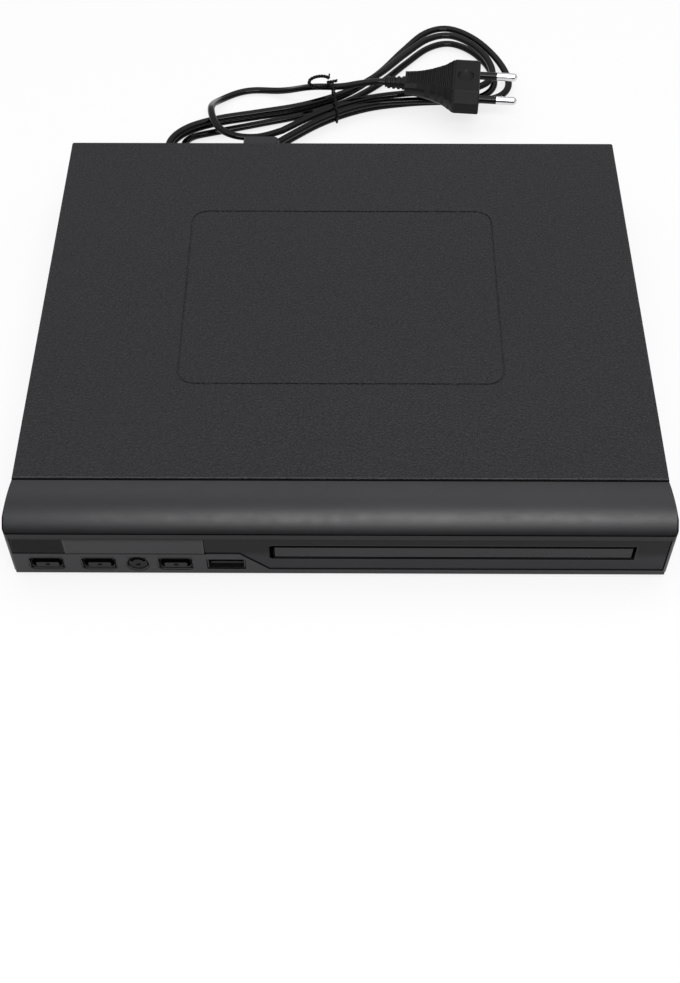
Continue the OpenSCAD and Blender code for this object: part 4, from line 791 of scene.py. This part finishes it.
def flat_cable(line, half_w, half_t, n=20):
    """Two-core cable: two round lobes side by side, with a groove between them."""
    bm = bmesh.new()
    rings = []
    lobe = half_w - half_t
    side = None
    for i, p in enumerate(line):
        d = direction(line, i)
        flat = d.cross(UP)
        if flat.length < 0.2:    # the cable stands nearly upright, where "flat" has no meaning
            flat = side
        want = flat.normalized()
        side = want if side is None else (side * 0.5 + want * 0.5)
        side = (side - d * side.dot(d)).normalized()
        up = side.cross(d).normalized()
        ring = []
        for j in range(n):
            a = 2 * pi * j / n
            x, z = cos(a), sin(a)
            px = (lobe if x >= 0 else -lobe) + half_t * x
            pz = half_t * z
            if abs(px) < half_t * 0.42:
                pz *= 0.80
            ring.append(bm.verts.new((p + side * px + up * pz) * MM))
        rings.append(ring)
    skin(bm, rings)
    bm.faces.new(list(reversed(rings[0])))
    bm.faces.new(rings[-1])
    return bm


route = lead_route()
lead_len = sum((b - a).length for a, b in zip(route, route[1:])) * MM
cable = from_bm(flat_cable(route, LEAD_D / 2, LEAD_HALF_T), "mains_lead", "case", smooth=60)
paint(cable, "cord")
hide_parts("cord_lead", "cord_hank", "cord_tail")


# ---------------------------------------------------------------- the tie round the hank
TIE_AT = Vector((*HANK_AT, 0))
TIE_TURN = radians(8)
TIE_REACH = 16           # the cable's passes nearer than this are held
TIE_OUT = 2.5            # from a pass's middle to the tie
TIE_LOW = 0.62           # height of the tie where it runs under the hank
TIE_STEPS = 240


def tie_ring(ux, uy):
    """Closed course round the passes of the cable that the tie holds, in even steps."""
    held = []
    for p, q in zip(route, route[1:]):
        a0, a1 = (p - TIE_AT).dot(ux), (q - TIE_AT).dot(ux)
        if (a0 < 0) != (a1 < 0):
            x = p.lerp(q, a0 / (a0 - a1)) - TIE_AT
            if abs(x.dot(uy)) < TIE_REACH:
                held.append((x.dot(uy), x.z))
    rough = []
    for i in range(TIE_STEPS + 1):
        t = 2 * pi * i / TIE_STEPS + pi * 0.36
        y, z = max(held, key=lambda h: h[0] * cos(t) + h[1] * sin(t))
        rough.append(Vector((y + TIE_OUT * cos(t), max(TIE_LOW, z + TIE_OUT * sin(t)))))
    for _ in range(6):
        rough = ([rough[0]]
                 + [rough[i] * 0.5 + (rough[i - 1] + rough[i + 1]) * 0.25
                    for i in range(1, TIE_STEPS)]
                 + [rough[-1]])
    ring = []
    for p, q in zip(rough, rough[1:]):
        k = max(1, int((q - p).length / 0.22))
        ring += [TIE_AT + uy * v.x + UP * v.y for v in (p.lerp(q, j / k) for j in range(k))]
    return ring


def thinned(path, gap):
    """The path without the points that are within a gap of the last one kept."""
    out = [path[0]]
    for p in path[1:]:
        if (p - out[-1]).length > gap:
            out.append(p)
    return out


def tie_loop(start, ux, uy):
    """The twisted ends, led off the ring and curled into a nearly closed loop."""
    middle = start + ux * -6.9 + uy * -0.2 + UP * 1.3
    tilt = uy * 0.75 + UP * 0.66
    loop = []
    for i in range(90):
        f = i / 89
        if f < 0.2:
            g = f / 0.2
            loop.append(start + ux * (-3.0 * g) + uy * (-1.0 * g) + UP * (0.5 * sin(g * pi / 2)))
        else:
            g = (f - 0.2) / 0.8
            a = radians(-10 - 335 * g)
            loop.append(middle + ux * (5.2 * cos(a)) + tilt * (2.3 * sin(a) - 0.9 + 1.2 * g))
    return loop


def twisted_tie():
    """Wire tie: two coated wires twisted round the waist, their ends curled into a loop on top."""
    bm = bmesh.new()
    ux, uy = Vector((cos(TIE_TURN), sin(TIE_TURN), 0)), Vector((-sin(TIE_TURN), cos(TIE_TURN), 0))
    ring = tie_ring(ux, uy)
    twist(bm, thinned(ring, 0.18), 0.3, 0.3, 2.4)
    start = ring[0]
    loop = tie_loop(start, ux, uy)
    twist(bm, [p for i, p in enumerate(loop) if i == 0 or (p - loop[i - 1]).length > 0.02],
          0.46, 0.46, 2.6)
    stub = [start + ux * (0.3 + 1.8 * f) + uy * (-0.6 * f) + UP * (0.4 + 0.6 * f ** 2)
            for f in (k / 16 for k in range(17))]
    twist(bm, stub, 0.4, 0.4, 2.0)
    knob = [loop[-1] + ux * (0.3 * f) + UP * (2.4 * f) + uy * (0.5 * f)
            for f in (k / 8 for k in range(9))]
    sweep(bm, knob, 0.4)
    obj = from_bm(bm, "lead_tie", "case", smooth=50)
    paint(obj, "tie")
    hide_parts("cord_tie")
    return obj


# ---------------------------------------------------------------- the plug
PLUG_BACK, PLUG_FRONT = -25, 12.5     # along the plug, from PLUG_AT
PLUG_W = [(-25, 6.2), (-19, 6.6), (-12.3, 8.5), (-8.5, 10.2), (-5.5, 12.0), (-2.5, 15.0),
          (-0.8, 17.0), (0.4, 17.6), (12.5, 17.6)]
PLUG_H = [(-25, 3.9), (-16, 4.5), (-6, 5.9), (0, 6.8), (12.5, 6.8)]
PLUG_STEPS, PLUG_ACROSS = 190, 56
RIB_START, RIB_END, RIB_PITCH, RIB_DEPTH = -24, -1.2, 1.9, 0.75
DIMPLE_AT, DIMPLE_R, DIMPLE_RIM, DIMPLE_DEPTH = 5.3, 4.0, 4.5, 1.5
NOSE = 0.8                            # radius of the edge round the plug's front
RELIEF_RIBS, RIB_STEP = 4, 2.45
PIN_R, PIN_OFF, PIN_L = 2.0, 9.5, 17.0
SLEEVE_L = 10.0


def smooth_table(x, table):
    """Value at x of a smooth line through a table of pairs."""
    for (x0, y0), (x1, y1) in zip(table, table[1:]):
        if x <= x1:
            t = max(0.0, (x - x0) / (x1 - x0))
            t = t * t * (3 - 2 * t) * 0.35 + t * 0.65
            return y0 + (y1 - y0) * t
    return table[-1][1]


def plug_height(s, y, w, h, side):
    """Height of the plug's skin over its middle plane: face, flank, ribs and finger dimple."""
    face = w * (0.68 if s > -1 else 0.72)
    k = max(0.0, abs(y) - face) / (w - face)
    z = h - 0.25 * min(1.0, k * 8) - (h * 0.52) * k ** 1.1
    inside = min(1.0, max(0.0, (face - abs(y)) / 0.7))
    if RIB_START < s < RIB_END:
        wave = 0.5 - 0.5 * cos(2 * pi * (s - RIB_END) / RIB_PITCH)
        z -= RIB_DEPTH * inside * wave ** 0.7
    if RIB_END <= s < 0:
        z -= 0.35 * inside
    if side > 0:
        r = sqrt((s - DIMPLE_AT) ** 2 + y * y)
        if r < DIMPLE_R:
            z -= DIMPLE_DEPTH * sqrt(max(0.0, 1 - (r / DIMPLE_R) ** 2)) ** 0.8
        elif r < DIMPLE_RIM:
            z += 0.12 * (DIMPLE_RIM - r) / 0.5
    return z


def plug_shell():
    """Moulded plug: raised face with a finger dimple, sloping flanks, ribs on the tapered neck."""
    bm = bmesh.new()
    rings = []
    for i in range(PLUG_STEPS + 1):
        s = PLUG_BACK + (PLUG_FRONT - PLUG_BACK) * i / PLUG_STEPS
        end = max(0.0, (s - (PLUG_FRONT - NOSE)) / NOSE)
        inset = NOSE * (1 - sqrt(max(0.0, 1 - end * end)))
        w, h = smooth_table(s, PLUG_W) - inset, smooth_table(s, PLUG_H) - inset
        ring = []
        for side in (1, -1):
            for j in range(PLUG_ACROSS + 1):
                y = side * w * (2 * j / PLUG_ACROSS - 1)
                z = side * plug_height(s, y, w, h, side)
                ring.append(bm.verts.new((PLUG_AT + PLUG_DIR * s + PLUG_SIDE * y + UP * z) * MM))
        rings.append(ring)
    skin(bm, rings)
    bm.faces.new(rings[0])
    bm.faces.new(rings[-1])
    relief = [(0.4, 0.0), (0.4, 3.5)]
    for i in range(RELIEF_RIBS):
        x = -0.2 - RIB_STEP * i
        r = 3.35 - 0.12 * i
        relief += [(x, r), (x - 1.1, r), (x - 1.35, r - 0.6), (x - 2.1, r - 0.65),
                   (x - 2.35, r - 0.15)]
    relief += [(-10.0, 2.5), (-10.0, 0.0)]
    lathe(bm, relief, PLUG_AT + PLUG_DIR * PLUG_BACK, PLUG_DIR, 28)
    obj = from_bm(bm, "plug_shell", "case", smooth=38)
    paint(obj, "plug")
    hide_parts("plug_body")
    return obj


def pin_tips():
    """Plug pins with domed ends and the insulated sleeves at their roots."""
    metal, sleeve = bmesh.new(), bmesh.new()
    dome = [(PIN_L + PIN_R * sin(i * pi / 16), PIN_R * cos(i * pi / 16)) for i in range(1, 9)]
    for s in (-1, 1):
        root = PLUG_AT + PLUG_DIR * PLUG_FRONT + PLUG_SIDE * s * PIN_OFF
        lathe(metal, [(8.6, 0), (8.6, PIN_R), (PIN_L, PIN_R)] + dome, root, PLUG_DIR)
        lathe(sleeve, [(-0.1, 0), (-0.1, 1.98), (9.6, 1.98), (SLEEVE_L, 1.9), (SLEEVE_L, 0)],
              root, PLUG_DIR)
    a = from_bm(metal, "pin_metal", "case", smooth=40)
    paint(a, "bright")
    b = from_bm(sleeve, "pin_sleeves", "case", smooth=40)
    paint(b, "sleeve")
    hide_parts("plug_pins")
    return a, b


tie = twisted_tie()
pins, sleeves = pin_tips()
shell = plug_shell()


# ---------------------------------------------------------------- fittings on the case
SCREW_Y, SCREW_Z = (-62, 73), 10.2
SCREW_HEAD = [(-0.05, 2.9), (0.5, 2.85), (1.1, 2.4), (1.5, 1.5), (1.6, 0)]
COVER_SIDE, SCREW_FACE = 125, 126.56
RECESS_L, RECESS_W, RECESS_H = 1.488, 0.408, 0.06


def cross_recess(bm, at, axis):
    """Cross let into a screw's head, drawn as two dark inlays of painted shade in place of its
    hollow.
    """
    axis = Vector(axis).normalized()
    a = axis.orthogonal().normalized()
    b = axis.cross(a)
    for p, q in ((a, b), (b, a)):
        brick(bm, [Vector(at) + p * sp * RECESS_L + q * sq * RECESS_W + axis * sh * RECESS_H
                   for sp in (-1, 1) for sq in (-1, 1) for sh in (-1, 1)])


def side_screws():
    heads, recesses = bmesh.new(), bmesh.new()
    for s in (-1, 1):
        for y in SCREW_Y:
            lathe(heads, SCREW_HEAD, (s * COVER_SIDE, y, SCREW_Z), (s, 0, 0))
            cross_recess(recesses, (s * SCREW_FACE, y, SCREW_Z), (s, 0, 0))
    head = from_bm(heads, "screw_heads", "case")
    paint(head, "dark_screw")
    recess = from_bm(recesses, "screw_recesses", "case", smooth=None)
    paint(recess, "tie")
    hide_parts("case_screws")


def dark_pockets():
    """Painted shade: the faces inside the buttons' and the socket's openings get a near-black
    material.
    """
    obj = nodes["front_bezel"]
    obj.data.materials.append(M["pocket"])
    for p in obj.data.polygons:
        c = p.center / MM
        if 4.2 < c.z < 12.4 and -111.9 < c.y < -108.5 and -122 < c.x < -36:
            p.material_index = 1


def shadow_lines():
    """Painted shadow: a black strip round the tray's opening and a black rim on the tray's front,
    for its bold outline.
    """
    bm = bmesh.new()
    frame_strip(bm, *SHADOW_FRAME, 0.42, -111.6, 0.04)
    box(bm, (-26.9, -111.64, SHADOW_FRAME[1][0]), (-26.2, -111.6, SHADOW_FRAME[1][1]))
    shadow_paint = from_bm(bm, "slot_shadow", "case", smooth=None)
    paint(shadow_paint, "shadow_paint")
    bm = bmesh.new()
    frame_strip(bm, *DOOR, 0.36, -111.5, 0.03)
    rim = from_bm(bm, "door_shadow_rim", "tray", smooth=None)
    paint(rim, "shadow_paint")


POCKET_X, LEDGE_X = 7.1, 6.45          # a long pocket's wall and its ledge, from its middle
POCKET_FOOT, LEDGE_Z, LEDGE_TOP = 4.3, 5.15, 10.4
LEDGE_FRONT, LEDGE_BACK = -111.85, -110.6
POCKET_R = 4.7
LEDGE_ARCS = ((3.78, 205, 335), (4.15, -25, 45), (4.15, 135, 205))


def pocket_ledges():
    """Small ledges in the buttons' pockets, below each button and beside it."""
    bm = bmesh.new()
    for x in LONG_BUTTONS:
        for x0, x1, z0, z1 in ((-POCKET_X, POCKET_X, POCKET_FOOT, LEDGE_Z),
                               (-POCKET_X, -LEDGE_X, LEDGE_Z, LEDGE_TOP),
                               (LEDGE_X, POCKET_X, LEDGE_Z, LEDGE_TOP)):
            box(bm, (x + x0, LEDGE_FRONT, z0), (x + x1, LEDGE_BACK, z1))
    for r, lo, hi in LEDGE_ARCS:
        slab(bm, sector(ROUND_BUTTON, BUTTON_Z, r, POCKET_R, lo, hi), LEDGE_BACK,
             LEDGE_BACK - LEDGE_FRONT)
    obj = from_bm(bm, "pocket_ledges", "case", smooth=None)
    paint(obj, "hood")
    bevel(obj, 0.12)


SHADE_T = 0.03
# The shade's outline: x from the button's middle, and z
SHADE = [(-5.9, 7.4), (-5.9, 9.9), (-5.0, 10.9), (5.0, 10.9), (5.9, 9.9), (5.9, 7.4), (5.1, 6.1),
         (4.2, 6.1), (4.5, 7.6), (4.1, 8.5), (-4.1, 8.5), (-4.5, 7.6), (-4.2, 6.1), (-5.1, 6.1)]


def button_shades():
    """Painted shade: thin black plate over the upper part and the ends of each button, round its
    pale bar.
    """
    bodies = ("power_button", "left_button", "right_button", "round_button")
    outlines = [[(x + dx, z) for dx, z in SHADE] for x in LONG_BUTTONS]
    outlines.append(sector(ROUND_BUTTON, BUTTON_Z, 2.3, 3.45, 25, 155))
    for body, outline in zip(bodies, outlines):
        bm = bmesh.new()
        slab(bm, outline, BUTTON_FACE, SHADE_T)
        obj = from_bm(bm, body + "_shade", body, smooth=None)
        paint(obj, "shadow_paint")


def socket_sill():
    """Moulded sill on the floor of the USB socket, just behind its mouth."""
    bm = bmesh.new()
    box(bm, (-50.2, -109.6, 5.68), (-37.8, -109.0, 5.95))
    obj = from_bm(bm, "socket_sill", "case", smooth=None)
    paint(obj, "frame")
    bevel(obj, 0.08)


def lower_lip():
    """Moulded lip along the foot of the front, a little lower than the body."""
    bm = bmesh.new()
    box(bm, (-126.5, -111.95, 1.8), (126.5, -109.6, 3.3))
    obj = from_bm(bm, "lower_lip", "case", smooth=None)
    paint(obj, "hood")
    bevel(obj, 0.2)


side_screws()
dark_pockets()
shadow_lines()
pocket_ledges()
button_shades()
socket_sill()
lower_lip()


# ---------------------------------------------------------------- edges of the CAD pieces
EDGES = {
    0.6: "cord_connector",
    0.5: "rubber_feet",
    0.35: "power_button left_button right_button",
    0.3: "top_cover power_inlet",
    0.25: "tray_door disc_tray",
    0.12: "front_panel receiver_window",
    0.1: "usb_port",
}
for width, names in EDGES.items():
    for name in names.split():
        bevel(nodes[name], width)


# ---------------------------------------------------------------- floor and light, in metres
GLOSS_WHITE = 0.4     # share of the white background that gloss sees; the rest is the studio sky
FLOOR_WHITE = 0.78    # share of plain white in what the camera sees of the floor
FLOOR_HALF, FLOOR_Z = 4, -0.0002
SKY_HORIZON, SKY_ZENITH = 0.22, 1.0    # heights at which the sky reaches its least and most
SKY_STRENGTH = 1.05


def background_rays(nt, k=1.0):
    """k for camera and transmission rays, GLOSS_WHITE of it for glossy ones, 0 for the rest."""
    lp = nt.nodes.new("ShaderNodeLightPath")
    gloss = scaled(nt, lp.outputs["Is Glossy Ray"], GLOSS_WHITE)
    both = combine(nt, "MAXIMUM", lp.outputs["Is Camera Ray"], gloss)
    every = combine(nt, "MAXIMUM", both, lp.outputs["Is Transmission Ray"])
    return every if k == 1.0 else scaled(nt, every, k)


def mix_shaders(nt, fac, a, b, out):
    mix = nt.nodes.new("ShaderNodeMixShader")
    nt.links.new(fac, mix.inputs[0])
    nt.links.new(a, mix.inputs[1])
    nt.links.new(b, mix.inputs[2])
    nt.links.new(mix.outputs[0], nt.nodes[out].inputs["Surface"])


def floor():
    """Pale paper that keeps the shadow and is nearly white to the camera."""
    mesh = bpy.data.meshes.new("floor")
    h = FLOOR_HALF
    corners = [(x, y, FLOOR_Z) for x, y in ((-h, -h), (h, -h), (h, h), (-h, h))]
    mesh.from_pydata(corners, [], [(0, 1, 2, 3)])
    obj = bpy.data.objects.new("floor", mesh)
    bpy.context.scene.collection.objects.link(obj)
    mat, nt, b = shader("floor_paper", (0.93, 0.93, 0.93), 0.9, spec=0.0)
    em = nt.nodes.new("ShaderNodeEmission")
    em.inputs["Color"].default_value = (1, 1, 1, 1)
    em.inputs["Strength"].default_value = 1.0
    mix_shaders(nt, background_rays(nt, FLOOR_WHITE), b.outputs[0], em.outputs[0],
                "Material Output")
    mesh.materials.append(mat)


def area(name, at, target, size, power):
    d = bpy.data.lights.new(name, "AREA")
    d.shape = "RECTANGLE"
    d.size, d.size_y = size
    d.energy = power
    o = bpy.data.objects.new(name, d)
    o.location = at
    o.rotation_euler = (Vector(target) - Vector(at)).to_track_quat("-Z", "Y").to_euler()
    bpy.context.scene.collection.objects.link(o)


def light():
    """Two soft boxes, and a sky bright overhead and dim low down that the camera sees as white."""
    w = bpy.data.worlds.new("studio")
    bpy.context.scene.world = w
    w.use_nodes = True
    nt = w.node_tree
    sky = nt.nodes["Background"]
    sky.inputs["Color"].default_value = (0.955, 0.97, 1, 1)
    t = nt.nodes.new("ShaderNodeTexCoord")
    s = nt.nodes.new("ShaderNodeSeparateXYZ")
    nt.links.new(t.outputs["Generated"], s.inputs[0])
    strength = remap(nt, s.outputs[2], 0.0, SKY_STRENGTH, SKY_HORIZON, SKY_ZENITH)
    nt.links.new(strength, sky.inputs["Strength"])
    white = nt.nodes.new("ShaderNodeBackground")
    white.inputs["Color"].default_value = (1, 1, 1, 1)
    white.inputs["Strength"].default_value = 1.0
    mix_shaders(nt, background_rays(nt), sky.outputs[0], white.outputs[0], "World Output")
    area("front", (0.14, -0.93, 1.36), (0.02, -0.1, 0), (0.95, 0.34), 11.0)
    area("above", (0.1, 0.35, 1.8), (0, 0, 0), (1.8, 1.2), 6.5)


floor()
light()
bpy.context.scene.view_settings.view_transform = "Standard"
